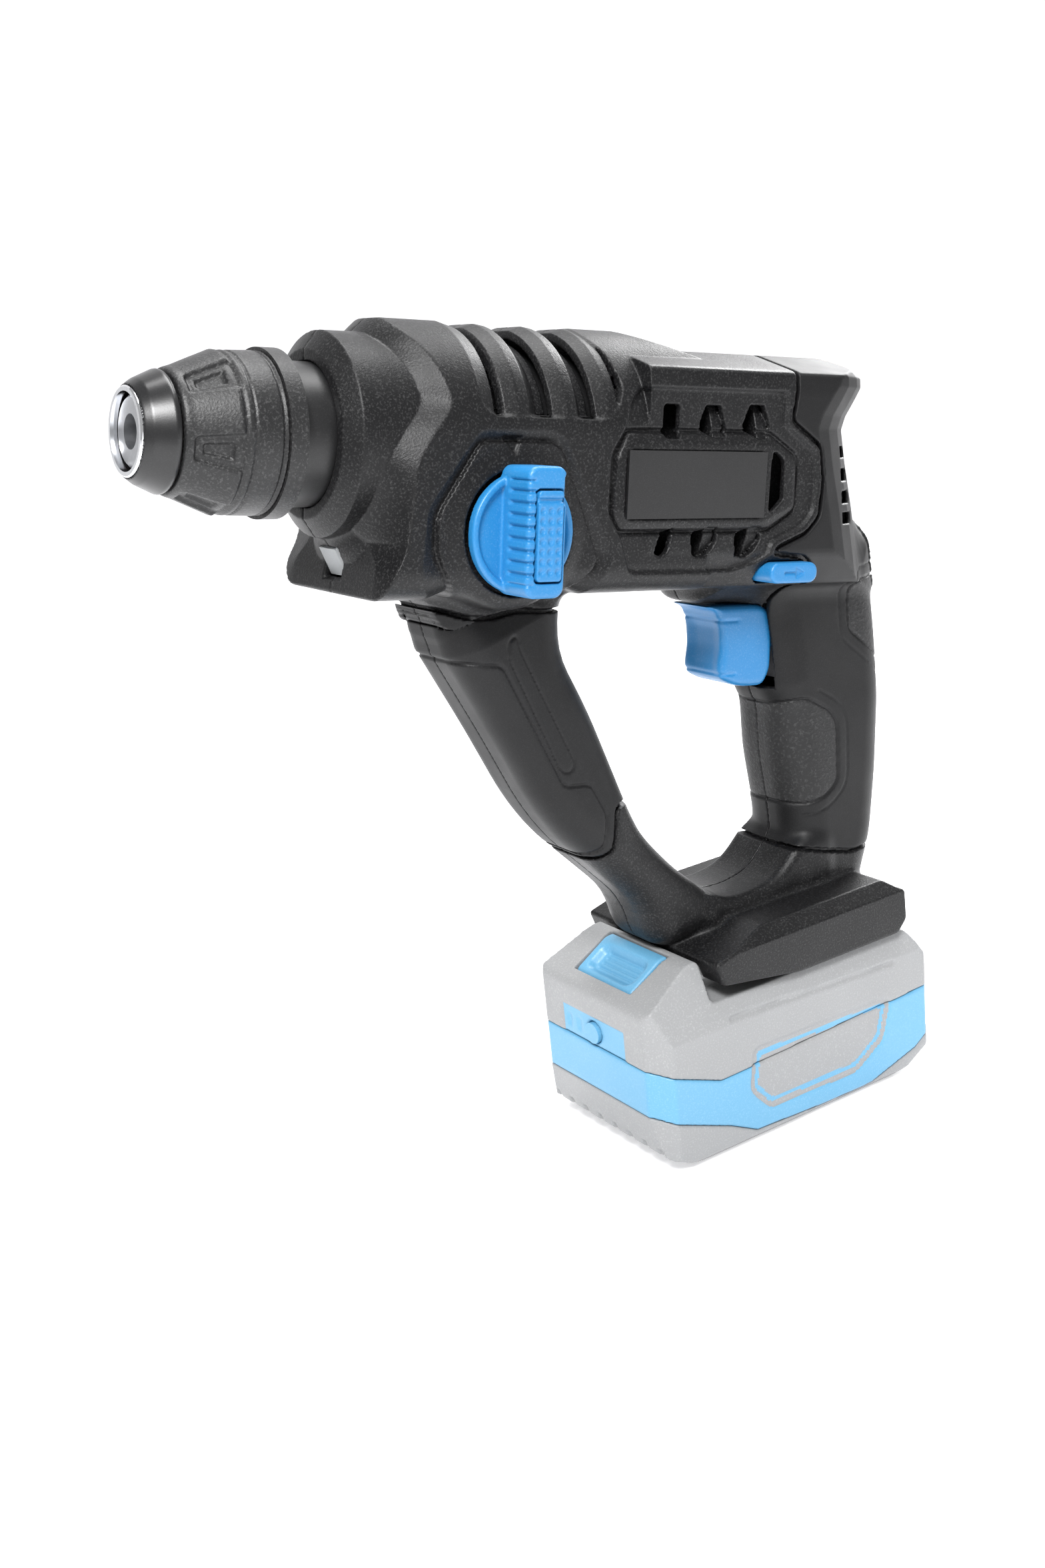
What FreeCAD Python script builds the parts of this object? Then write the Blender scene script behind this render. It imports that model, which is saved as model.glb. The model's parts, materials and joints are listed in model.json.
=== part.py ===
import FreeCAD, Part
import Sketcher
import math
import os
from FreeCAD import Placement, Rotation, Vector

# Cordless rotary hammer on its battery, in millimetres.
# Row frame: origin at the middle of the battery's flat underside, +Z up, chuck towards -X.
# Barrel frame: +X runs back along the barrel from the chuck's front ring, +Z up.
# Foot frame: the same axes as the row frame, from the foot's front lower edge.

SIZES = {
    # where the barrel sits in the row frame
    "barrel_x": -206.8, "barrel_z": 283.0, "barrel_tilt": 9.2,
    "foot_x": -33.0, "foot_z": 60.0,
    "countershaft_drop": 28.0, "motor_drop": 11.2,
    # walls and gaps
    "wall": 2.5, "rubber": 1.8, "gap": 0.4, "slack": 0.05,
    # housing
    "body_half": 36.0, "rear_half": 25.0, "grip_half": 18.0, "brace_half": 19.0, "foot_half": 38.0,
    "collar_front": 56.6, "collar_face": 60.2, "collar_rear": 92.0, "collar_radius": 30.8,
    "collar_lip": 25.5,
    # spindle and chuck
    "nose_x": 1.8, "tool_bore": 5.05, "nose_radius": 10.4, "neck_radius": 21.5, "neck_front": 47.2,
    "journal_front": 50.0, "journal_radius": 12.0, "tube_front": 73.0, "tube_radius": 13.5,
    "tube_bore": 11.5, "tube_step": 84.0, "tube_rear": 118.0, "beat_bore": 7.05, "beat_front": 58.0,
    "ring_outer": 12.9, "ring_inner": 11.3, "ring_rear": 2.2,
    "cap_front": 0.5, "cap_edge": 13.6, "cap_radius": 17.7, "cap_shoulder": 9.1, "cap_rear": 10.7,
    "sleeve_front": 11.2, "sleeve_nose": 18.3, "sleeve_radius": 24.0, "sleeve_shoulder": 27.0,
    "sleeve_rear": 40.6, "sleeve_bore": 15.6, "sleeve_skirt": 22.0, "sleeve_lip": 1.0,
    "flange_radius": 25.0, "flange_rear": 46.2,
    "ball_x": 22.0, "ball_radius": 3.5, "ball_height": 8.7,
    "lock_ring_front": 20.5, "lock_ring_rear": 23.5, "lock_ring_bore": 12.45,
    "washer_front": 40.2, "washer_rear": 41.4, "washer_radius": 20.8,
    "seal_front": 54.0, "seal_rear": 60.0, "seal_radius": 17.0,
    "bearing_front": 61.5, "bearing_rear": 71.5, "bearing_radius": 19.0,
    "bush_front": 106.0, "bush_rear": 113.0, "bush_radius": 16.2,
    # gear train
    "drive_module": 1.0, "spindle_teeth": 42.0, "drive_teeth": 14.0,
    "motor_module": 0.8, "counter_teeth": 34.0, "pinion_teeth": 8.0,
    "spindle_gear_front": 91.5, "spindle_gear_width": 9.0,
    "drive_pinion_front": 91.0, "drive_pinion_width": 10.5,
    "counter_gear_front": 141.0, "counter_gear_width": 7.0,
    "motor_pinion_front": 140.0, "motor_pinion_width": 9.0,
    "countershaft_front": 80.5, "countershaft_rear": 156.5, "countershaft_radius": 4.0,
    "small_bearing_radius": 8.0, "small_bearing_width": 5.0,
    "clutch_front": 106.2, "clutch_rear": 117.2, "clutch_radius": 8.5, "groove_radius": 6.5,
    "groove_half": 2.0,
    # hammer
    "wobble_x": 128.0, "race_half": 6.5, "race_radius": 8.6, "race_waist": 7.8,
    "wobble_bore": 10.6, "wobble_radius": 13.5, "wobble_half": 4.0, "finger_radius": 3.0,
    "piston_front": 89.2, "piston_radius": 11.42, "piston_bore": 8.5, "piston_head": 119.6,
    "piston_neck": 122.4, "piston_tail": 135.0, "fork_half": 9.0, "pin_radius": 4.6,
    "ram_front": 90.0, "ram_shoulder": 96.0, "ram_rear": 108.0, "ram_radius": 8.4, "ram_nose": 5.0,
    "ram_groove_front": 100.5, "ram_groove_rear": 103.5, "ram_groove": 6.6,
    "beat_tip": 58.4, "beat_neck": 60.0, "beat_shoulder": 78.0, "beat_tail": 86.0,
    "beat_radius": 7.0, "beat_tip_radius": 4.9, "beat_tail_radius": 5.2,
    # motor
    "shaft_front": 140.0, "shaft_step": 150.5, "shaft_rear": 238.5, "shaft_radius": 2.5,
    "pinion_seat": 1.6, "front_bearing": 152.5, "rear_bearing": 232.0,
    "fan_front": 163.0, "fan_rear": 175.0, "fan_radius": 22.0, "fan_hub": 7.0, "fan_blades": 11.0,
    "stator_front": 181.0, "stator_rear": 213.0, "stator_radius": 23.6, "stator_bore": 13.2,
    "stator_slots": 6.0, "slot_floor": 20.4, "rotor_radius": 12.6,
    "winding_over": 3.6, "winding_inner": 15.0,
    "sensor_front": 218.6, "sensor_rear": 220.2, "sensor_radius": 19.0, "sensor_hole": 6.0,
    # gear case
    "case_front": 76.0, "case_rear": 150.0, "case_radius": 27.6, "case_bore": 25.2,
    "lobe_radius": 16.8, "lobe_bore": 14.7, "lobe_front": 87.5, "case_slot": 12.0,
    "plate_rear": 160.0,
    # mode selector
    "knob_x": 111.7, "knob_z": -27.5, "knob_radius": 18.4, "knob_disc": 1.6,
    "knob_bar_half": 7.0, "knob_bar_up": 20.6, "knob_bar_down": 18.6, "knob_top": 51.5,
    "knob_shaft": 6.5, "knob_shaft_end": 17.4, "shift_throw": 3.0, "shift_pin": 1.2, "shift_end": 6.8,
    "button_length": 27.0, "button_half": 4.6, "button_drop": 3.2,
    # trigger and switch
    "trigger_half": 11.0, "trigger_stem": 3.0, "stem_end": 255.0,
    "switch_front": 248.6, "switch_length": 30.0, "switch_top": -57.0, "switch_height": 27.0,
    "switch_half": 9.0, "stem_z": -70.0,
    "bar_x": 223.5, "bar_z": -42.2, "bar_length": 21.0, "bar_height": 7.0, "bar_half": 38.4,
    # foot and battery rails
    "channel_half": 26.0, "channel_roof": 11.0, "rail_half": 22.6, "rail_top": 4.0,
    "channel_rear": 65.0,
    # battery
    "battery_half": 38.0, "band_top": -25.0, "band_bottom": -42.0,
    "battery_wall": 2.2,
    "tongue_neck": 22.0, "tongue_head": 25.5, "tongue_low": 4.6, "tongue_top": 10.3,
    "tongue_rear": 64.0,
    "cell_radius": 9.2, "cell_half": 32.5, "cell_pitch": 18.8, "cell_u": 33.0, "cell_low": -46.0,
    "latch_half": 16.6, "latch_front": -27.6, "latch_rear": -9.6, "latch_bottom": -4.0,
    "gauge_radius": 4.0, "gauge_v": -14.0, "gauge_face": -34.5,
}

doc = FreeCAD.newDocument("RotaryHammer")
sheet = doc.addObject("Spreadsheet::Sheet", "Sizes")
for row, (alias, amount) in enumerate(SIZES.items(), start=1):
    sheet.set("A%d" % row, alias)
    sheet.set("B%d" % row, str(amount))
    sheet.setAlias("B%d" % row, alias)
doc.recompute()


class Size:
    """A cell of the sheet, or a sum worked out from cells: its number and its expression."""

    def __init__(self, amount, text):
        self.amount = amount
        self.text = text

    def __float__(self):
        return float(self.amount)

    def __add__(self, other):
        return Size(float(self) + float(other), "(%s + %s)" % (self.text, words(other)))

    def __sub__(self, other):
        return Size(float(self) - float(other), "(%s - %s)" % (self.text, words(other)))

    def __mul__(self, other):
        return Size(float(self) * float(other), "(%s * %s)" % (self.text, words(other)))

    def __neg__(self):
        return Size(-float(self), "(-1 * %s)" % self.text)


class Named:
    """Every cell as an attribute of its own name."""


def words(amount):
    if isinstance(amount, Size):
        return amount.text
    return repr(float(amount))


s = Named()
for alias in SIZES:
    setattr(s, alias, Size(float(sheet.get(alias)), "Sizes." + alias))

BARREL = Placement(Vector(s.barrel_x.amount, 0, s.barrel_z.amount),
    Rotation(Vector(0, 1, 0), s.barrel_tilt.amount))
FOOT = Placement(Vector(s.foot_x.amount, 0, s.foot_z.amount), Rotation())
COUNTER = BARREL * Placement(Vector(0, 0, -s.countershaft_drop.amount), Rotation())
MOTOR = BARREL * Placement(Vector(0, 0, -s.motor_drop.amount), Rotation())
ALONG_X = Rotation(Vector(0, 1, 0), 90)
ALONG_Y = Rotation(Vector(1, 0, 0), -90)

nodes = []


def bind(piece, prop, amount):
    """Sets a property from a number, and ties it to the sheet where it comes from there."""
    if isinstance(amount, Size):
        piece.setExpression(prop, amount.text)
    else:
        setattr(piece, prop, amount)


def node(piece, label, place=None):
    """Makes a document object one of the sub-parts."""
    piece.Label = label
    if place is not None:
        piece.Placement = place
    nodes.append(piece)
    return piece


# ---- turned pieces: an outline of (along, radius) spun about the piece's own X axis

def turned(label, outline, place):
    body = doc.addObject("PartDesign::Body", label)
    sketch = body.newObject("Sketcher::SketchObject", label + "_outline")
    for plane in body.Origin.OriginFeatures:
        if plane.Role == "XZ_Plane":
            sketch.AttachmentSupport = (plane, [""])
    sketch.MapMode = "FlatFace"
    corners = [Vector(float(along), float(radius), 0) for along, radius in outline]
    count = len(corners)
    for i in range(count):
        sketch.addGeometry(Part.LineSegment(corners[i], corners[(i + 1) % count]), False)
    for i in range(count):
        sketch.addConstraint(Sketcher.Constraint("Coincident", i, 2, (i + 1) % count, 1))
    for i, (along, radius) in enumerate(outline):
        for kind, amount in (("DistanceX", along), ("DistanceY", radius)):
            index = sketch.addConstraint(Sketcher.Constraint(kind, -1, 1, i, 1, float(amount)))
            if isinstance(amount, Size):
                sketch.setExpression("Constraints[%d]" % index, amount.text)
    spin = body.newObject("PartDesign::Revolution", label + "_spin")
    spin.Profile = sketch
    spin.ReferenceAxis = (sketch, ["H_Axis"])
    spin.Angle = 360
    body.Tip = spin
    return node(body, label, place)


def tube(label, front, rear, inner, outer, place):
    """A plain ring or bush."""
    return turned(label, [(front, inner), (front, outer), (rear, outer), (rear, inner)], place)


# ---- primitives whose sizes are bound to the sheet

def block(name, x, y, z, length, width, height):
    piece = doc.addObject("Part::Box", name)
    bind(piece, "Length", length)
    bind(piece, "Width", width)
    bind(piece, "Height", height)
    piece.Placement = Placement(Vector(float(x), float(y), float(z)), Rotation())
    return piece


def rod(name, radius, length, start, turn):
    piece = doc.addObject("Part::Cylinder", name)
    bind(piece, "Radius", radius)
    bind(piece, "Height", length)
    piece.Placement = Placement(Vector(*[float(v) for v in start]), turn)
    return piece


def cut(name, base, tool):
    piece = doc.addObject("Part::Cut", name)
    piece.Base = base
    piece.Tool = tool
    return piece


def made(label, shape, place):
    """A sub-part whose shape is worked out by this script's own functions from the sheet."""
    piece = doc.addObject("Part::Feature", label)
    piece.Shape = shape
    return node(piece, label, place * shape.Placement)


# ---- plain shapes used inside the worked-out sub-parts

def bar(x0, x1, radius, drop=0.0):
    """A solid cylinder along X."""
    return Part.makeCylinder(float(radius), float(x1) - float(x0), Vector(float(x0), 0, -float(drop)),
        Vector(1, 0, 0))


def cross_bar(x, z, y0, y1, radius):
    """A solid cylinder along Y."""
    return Part.makeCylinder(float(radius), float(y1) - float(y0),
        Vector(float(x), float(y0), float(z)), Vector(0, 1, 0))


def brick(x0, x1, y0, y1, z0, z1):
    return Part.makeBox(
        float(x1) - float(x0), float(y1) - float(y0), float(z1) - float(z0),
        Vector(float(x0), float(y0), float(z0)))


def outline_face(points, y):
    corners = [Vector(x, y, z) for x, z in points]
    return Part.Face(Part.makePolygon(corners + corners[:1]))


def slab(points, y0, y1):
    """A side outline of (along, up) points, made solid between two planes across it."""
    return outline_face(points, float(y0)).extrude(Vector(0, float(y1) - float(y0), 0))


def inset(points, amount):
    """The same outline with every side moved inwards."""
    face = outline_face(points, 0)
    wire = face.makeOffset2D(-float(amount), 2).OuterWire
    return [(vertex.X, vertex.Z) for vertex in wire.OrderedVertexes]


def bevelled_half(points, half, edge, start=0.0):
    """The -Y half of a slab, from y = start outwards, with its outer edge bevelled."""
    slope = edge * 0.55
    face = outline_face(points, -(half - edge))
    foot = face.OuterWire
    crest = face.makeOffset2D(-slope, 2).OuterWire.translated(Vector(0, -edge, 0))
    return slab(points, -(half - edge), start).fuse(Part.makeLoft([foot, crest], True, True))


def merged(shapes):
    result = shapes[0].multiFuse(shapes[1:])
    return result.removeSplitter()


def mirrored(shape):
    return shape.mirror(Vector(0, 0, 0), Vector(0, 1, 0))


# ---- the frame's side outlines, in the barrel frame

BODY = [
    (78, 30), (91.1, 34.8), (165.4, 35.2), (182.4, 29.9), (236, 30), (250, 20),
    (252, -34), (240, -44), (199, -47.6), (80, -47.8), (72, -36), (70, 15)]
CHIN = [(64.4, -26), (64.4, -31.8), (70.8, -43.9), (77.9, -47.8), (96, -47.8), (96, -26)]
REAR = [
    (222, 30), (254.4, 29.2), (274, 26.2), (279.6, 21), (274, 12), (271.5, 5.4), (274.2, -5.4),
    (279.4, -22.4), (286, -47.4), (287, -52), (222, -52)]
GRIP = [
    (203.4, -44), (203.4, -53.7), (207.7, -55.5), (226, -55.5), (233, -58.5), (239, -79.7),
    (240, -88.1),
    (244, -93.8), (246.9, -112.8), (254.7, -138.7), (255, -145.7), (250, -153), (250, -168),
    (292, -178),
    (294.7, -160.6), (298, -146), (298, -120.5), (296.2, -91.3), (291.9, -67.8), (283, -32), (243, -32)]
GRIP_CORE = [
    (241.8, -87), (246.2, -94.8), (248.9, -112.8), (256.7, -138.7), (256.7, -147), (256.7, -160),
    (292.6, -160), (295.9, -146), (295.9, -120.5), (294.1, -91.3), (289.9, -68.5), (285.1, -47.6),
    (241.8, -47.6)]
GRIP_ZONE = [(232, -87), (232, -147.4), (310, -147.4), (310, -47.6), (268, -47.6), (262, -62),
    (248, -87)]
BRACE = [
    (93.9, -42), (93.9, -56), (122.2, -95.9), (139.1, -121.4), (150.7, -134.3), (185, -161),
    (193, -180),
    (228, -174), (214.6, -158.4), (201.4, -149.7), (185.2, -135.4), (178.5, -125), (159.2, -88.8),
    (145.3, -67.3), (145.3, -42)]
BRACE_ZONE = [(80, -56), (90, -56), (135, -56), (172, -56), (172, -120), (166, -142), (120, -152),
    (80, -60)]
TRIGGER = [
    (208.6, -56.1), (214.3, -58.3), (216.6, -64.3), (217.6, -71.6), (216.9, -78.7), (217.8, -82.2),
    (223.9, -84.8), (229.2, -85.6), (238, -85.6), (241, -80), (241, -59), (234, -56.1)]
FOOT_SIDE = [(-5.2, 14.9), (20, 21.3), (79.8, 21.3), (84.7, 17.5), (87.3, 16.5), (87.7, 4.7), (83.2, 0),
    (0, 0)]
SCREWS = [(171, 25), (243, 20), (266, -38), (264, -112), (284, -140), (112, -60), (150, -112),
    (197, -151)]
TOP_VENTS = (170, 187.5, 206)
REAR_VENTS = (-1, -8.6, -16.2, -23.2)
BAR_WINDOW = (s.bar_length.amount + 2 * s.gap.amount, s.bar_height.amount + 2 * s.gap.amount)


def in_barrel(shape):
    """A foot-frame shape carried into the barrel frame."""
    moved = shape.copy()
    moved.Placement = BARREL.inverse() * FOOT * moved.Placement
    return moved


def foot_half_solid():
    """The -Y half of the battery foot: sloped shoulders, a hollow roof and the battery channel."""
    half = s.foot_half.amount
    crown = 3.8
    solid = slab(FOOT_SIDE, -half, 0)
    wedge = Part.Face(Part.makePolygon([
        Vector(-40, -half - 1, 17.5), Vector(-40, -half + crown, 21.4), Vector(-40, -half - 1, 21.4),
        Vector(-40, -half - 1, 17.5)])).extrude(Vector(160, 0, 0))
    solid = solid.cut(wedge)
    roof_hollow = brick(4, 84, -half + 6, 0, s.channel_roof.amount + 2, 18.6)
    side_hollow = brick(4, 82, -half + 2.5, -s.channel_half.amount - 2.4, 2.4, 15.5)
    channel = brick(-20, s.channel_rear.amount, -s.channel_half.amount, 1, -1, s.channel_roof.amount)
    seat = brick(s.channel_rear.amount - 0.1, 84.5, -21, 1, -1, s.channel_roof.amount + 3)
    rail = brick(1.5, s.channel_rear.amount, -s.channel_half.amount - 0.5, -s.rail_half.amount, 0,
        s.rail_top.amount)
    return solid.cut(merged([roof_hollow, side_hollow, channel, seat])).fuse(rail)


def collar():
    profile = [
        Vector(s.collar_front.amount, 0, 0), Vector(s.collar_front.amount, 0, s.collar_lip.amount),
        Vector(s.collar_face.amount, 0, s.collar_radius.amount),
        Vector(s.collar_rear.amount, 0, s.collar_radius.amount),
        Vector(s.collar_rear.amount, 0, 0)]
    ring = Part.Face(Part.makePolygon(profile + profile[:1])).revolve(Vector(0, 0, 0), Vector(1, 0, 0),
        360)
    return ring.common(brick(0, 200, -60, 0, -60, 60))


def frame_half():
    """The -Y housing half before its own holes: barrel body, rear, grip core, brace core and foot."""
    wall = s.wall.amount
    body = s.body_half.amount
    rear = s.rear_half.amount
    grip = s.grip_half.amount
    brace = s.brace_half.amount
    rubber = s.rubber.amount
    grip_zone = slab(GRIP_ZONE, -60, 1)
    grip_full = bevelled_half(GRIP, grip, 6.0)
    grip_core = bevelled_half(GRIP_CORE, grip - rubber, 5.0)
    grip_solid = grip_full.cut(grip_zone).fuse(grip_core)
    brace_zone = slab(BRACE_ZONE, -60, 1)
    brace_full = bevelled_half(BRACE, brace, 6.0)
    brace_core = bevelled_half(inset(BRACE, rubber), brace - rubber, 5.0)
    brace_solid = brace_full.cut(brace_zone).fuse(brace_core)
    foot_block = in_barrel(slab(FOOT_SIDE, -s.foot_half.amount, 0))
    outer = merged([
        collar(), bevelled_half(BODY, body, 9.0), bevelled_half(CHIN, 22.0, 6.0),
        bevelled_half(REAR, rear, 7.0), grip_solid.cut(foot_block), brace_solid.cut(foot_block)])
    inner = merged([
        bar(s.collar_front - 1, 80, s.neck_radius + 0.15).common(brick(0, 200, -60, 1, -60, 60)),
        bar(s.case_front - 0.3, 92, s.case_radius + 0.4).common(brick(0, 200, -60, 1, -60, 60)),
        bevelled_half(inset(BODY, wall), body - wall, 9.0, 1),
        bevelled_half(inset(REAR, wall), rear - wall, 7.0, 1),
        bevelled_half(inset(GRIP, wall + rubber), grip - wall - rubber, 4.0, 1),
        bevelled_half(inset(BRACE, wall + rubber), brace - wall - rubber, 4.0, 1)])
    inner = inner.cut(foot_block)
    posts = merged([cross_bar(x, z, -body, 0, 4.6) for x, z in SCREWS])
    webs = merged([
        brick(230.6, 239, -(body - 1), 0, -s.motor_drop.amount - 11, -s.motor_drop.amount + 11),
        brick(184, 188, -(body - 1), 0, -46, 31),
        brick(206, 210, -(body - 1), 0, -46, 31)])
    seats = merged([
        bar(231.9, 237.2, s.small_bearing_radius + 0.02, s.motor_drop),
        bar(225, 245, 5.0, s.motor_drop),
        bar(180, 216.8, s.stator_radius + 0.05, s.motor_drop)])
    webs = webs.cut(seats.common(brick(0, 400, -60, 1, -60, 60)))
    webs = webs.cut(brick(211, 236, -60, 1, -48, -36))
    shell = outer.cut(inner)
    shell = shell.fuse([posts.common(outer), webs.common(outer)])
    foot = in_barrel(foot_half_solid())
    shell = shell.fuse(foot)
    cable_way = in_barrel(brick(60, 76, -9, 1, 13, 30))
    return shell.cut(cable_way)


def side_openings():
    """Vent slots, switch window and trigger slot of the -Y half, as one tool."""
    outer = -s.body_half.amount - 1
    deep = -s.body_half.amount + s.wall.amount + 1.2
    cuts = []
    for x in TOP_VENTS:
        cuts.append(brick(x - 3, x + 3.5, outer, deep, 2.5, 12.5))
        cuts.append(brick(x - 4, x + 2.5, outer, deep, -36, -27))
    for z in REAR_VENTS:
        cuts.append(brick(249, 258.5, -s.rear_half.amount - 1, -s.rear_half.amount + s.wall.amount + 1,
            z - 3.4, z + 1))
    length, height = BAR_WINDOW
    x0 = s.bar_x.amount - length / 2
    z0 = s.bar_z.amount - height / 2
    cuts.append(brick(x0, x0 + length, outer - 4, 1, z0, z0 + height))
    cuts.append(brick(206, 248.5, -s.trigger_half.amount - s.gap.amount, 1, -87, -55.7))
    return merged(cuts)


BADGE = (152.4, 209.6, -23.7, -2.3)
LENS = (66.0, -42.4, 10.5)


def badge_recess():
    x0, x1, z0, z1 = BADGE
    return brick(x0 - 0.2, x1 + 0.2, -s.body_half.amount - 1, -s.body_half.amount + 1.2, z0 - 0.2,
        z1 + 0.2)


def lens_slot(grow):
    """The work light's window in the chin, square to the chin's slope."""
    slope = math.degrees(math.atan2(12.1, 6.4))
    shape = Part.makeBox(9.4 + 2 * grow, 2 * (LENS[2] / 2 + grow), 3.4 + 2 * grow,
        Vector(-4.7 - grow, -LENS[2] / 2 - grow, -grow))
    shape.rotate(Vector(0, 0, 0), Vector(0, 1, 0), slope)
    shape.translate(Vector(67.2, 0, -38.2))
    return shape


def housing():
    half = frame_half().cut(side_openings()).cut(badge_recess()).cut(lens_slot(0.15))
    left = half.cut(cross_bar(s.knob_x, s.knob_z, -60, -20, s.knob_shaft + 0.3))
    left = left.cut(merged([cross_bar(x, z, -11, 1, 1.95) for x, z in SCREWS]))
    right = mirrored(half)
    bores = [cross_bar(x, z, -1, 11, 2.2) for x, z in SCREWS]
    heads = [cross_bar(x, z, 10, 60, 3.7) for x, z in SCREWS]
    right = right.cut(merged(bores + heads))
    made("housing_left", left.removeSplitter(), BARREL)
    made("housing_right", right.removeSplitter(), BARREL)


def rubbers():
    """Soft skins moulded over the grip and the brace."""
    grip = s.grip_half.amount
    brace = s.brace_half.amount
    rubber = s.rubber.amount
    grip_skin = bevelled_half(GRIP, grip, 6.0).common(slab(GRIP_ZONE, -60, 1))
    grip_skin = grip_skin.cut(bevelled_half(GRIP_CORE, grip - rubber, 5.0))
    grip_skin = grip_skin.cut(bevelled_half(REAR, s.rear_half.amount, 7.0)).cut(side_openings())
    brace_skin = bevelled_half(BRACE, brace, 6.0).common(slab(BRACE_ZONE, -60, 1))
    brace_skin = brace_skin.cut(bevelled_half(inset(BRACE, rubber), brace - rubber, 5.0))
    for name, skin in (("grip_rubber", grip_skin), ("brace_rubber", brace_skin)):
        bores = merged([cross_bar(x, z, 10, 60, 3.7) for x, z in SCREWS])
        made(name + "_left", skin, BARREL)
        made(name + "_right", mirrored(skin).cut(bores), BARREL)


def badges():
    x0, x1, z0, z1 = BADGE
    for side, label in ((-1, "badge_left"), (1, "badge_right")):
        face = s.body_half.amount
        y = -face - 0.4 if side < 0 else face - 1.2
        plate = block(label, x0, y, z0, x1 - x0, 1.6, z1 - z0)
        node(plate, label, BARREL * plate.Placement)


def screws():
    """Eight identical housing screws, put in from the right."""
    shapes = []
    for x, z in SCREWS:
        head = cross_bar(x, z, 10, 12.6, 3.4)
        slot = brick(x - 1.6, x + 1.6, 11.4, 13, z - 0.5, z + 0.5)
        shapes.append(head.fuse(cross_bar(x, z, -9.5, 10, 1.9)).cut(slot))
    made("housing_screws", Part.makeCompound(shapes), BARREL)


# ---- gears

def gear_shape(teeth, module, front, width, bore):
    """A spur gear along X with straight-flanked teeth, one tooth centred on +Z."""
    teeth = int(teeth)
    pitch = teeth * module / 2
    root = pitch - 1.2 * module
    tip = pitch + 0.95 * module
    step = 2 * math.pi / teeth
    flanks = ((root, 0.30), (pitch, 0.23), (tip, 0.11))
    corners = []
    for tooth in range(teeth):
        middle = tooth * step
        for radius, half in flanks:
            corners.append((radius, middle - half * step))
        for radius, half in reversed(flanks):
            corners.append((radius, middle + half * step))
    points = [Vector(front, r * math.sin(angle), r * math.cos(angle)) for r, angle in corners]
    face = Part.Face(Part.makePolygon(points + points[:1]))
    return face.extrude(Vector(width, 0, 0)).cut(bar(front - 1, front + width + 1, bore))


def turned_by(shape, degrees):
    turned_shape = shape.copy()
    turned_shape.rotate(Vector(0, 0, 0), Vector(1, 0, 0), degrees)
    return turned_shape


def gears():
    drive = s.drive_module.amount
    motor = s.motor_module.amount
    spindle_gear = gear_shape(
        s.spindle_teeth.amount, drive, s.spindle_gear_front.amount, s.spindle_gear_width.amount,
        s.tube_radius.amount)
    # a gap of the spindle gear points straight down at the drive pinion's top tooth
    made("spindle_gear", turned_by(spindle_gear, 180.0 / s.spindle_teeth.amount), BARREL)
    drive_pinion = gear_shape(
        s.drive_teeth.amount, drive, s.drive_pinion_front.amount, s.drive_pinion_width.amount,
        s.countershaft_radius.amount)
    made("drive_pinion", drive_pinion, COUNTER)
    counter_gear = gear_shape(
        s.counter_teeth.amount, motor, s.counter_gear_front.amount, s.counter_gear_width.amount,
        s.countershaft_radius.amount)
    made("countershaft_gear", counter_gear, COUNTER)
    # the pinion's lower side meets the countershaft gear's top tooth with a gap
    pinion = gear_shape(
        s.pinion_teeth.amount, motor, s.motor_pinion_front.amount, s.motor_pinion_width.amount,
        s.pinion_seat.amount)
    made("motor_pinion", turned_by(pinion, 180.0 / s.pinion_teeth.amount), MOTOR)


# ---- chuck and spindle

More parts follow.
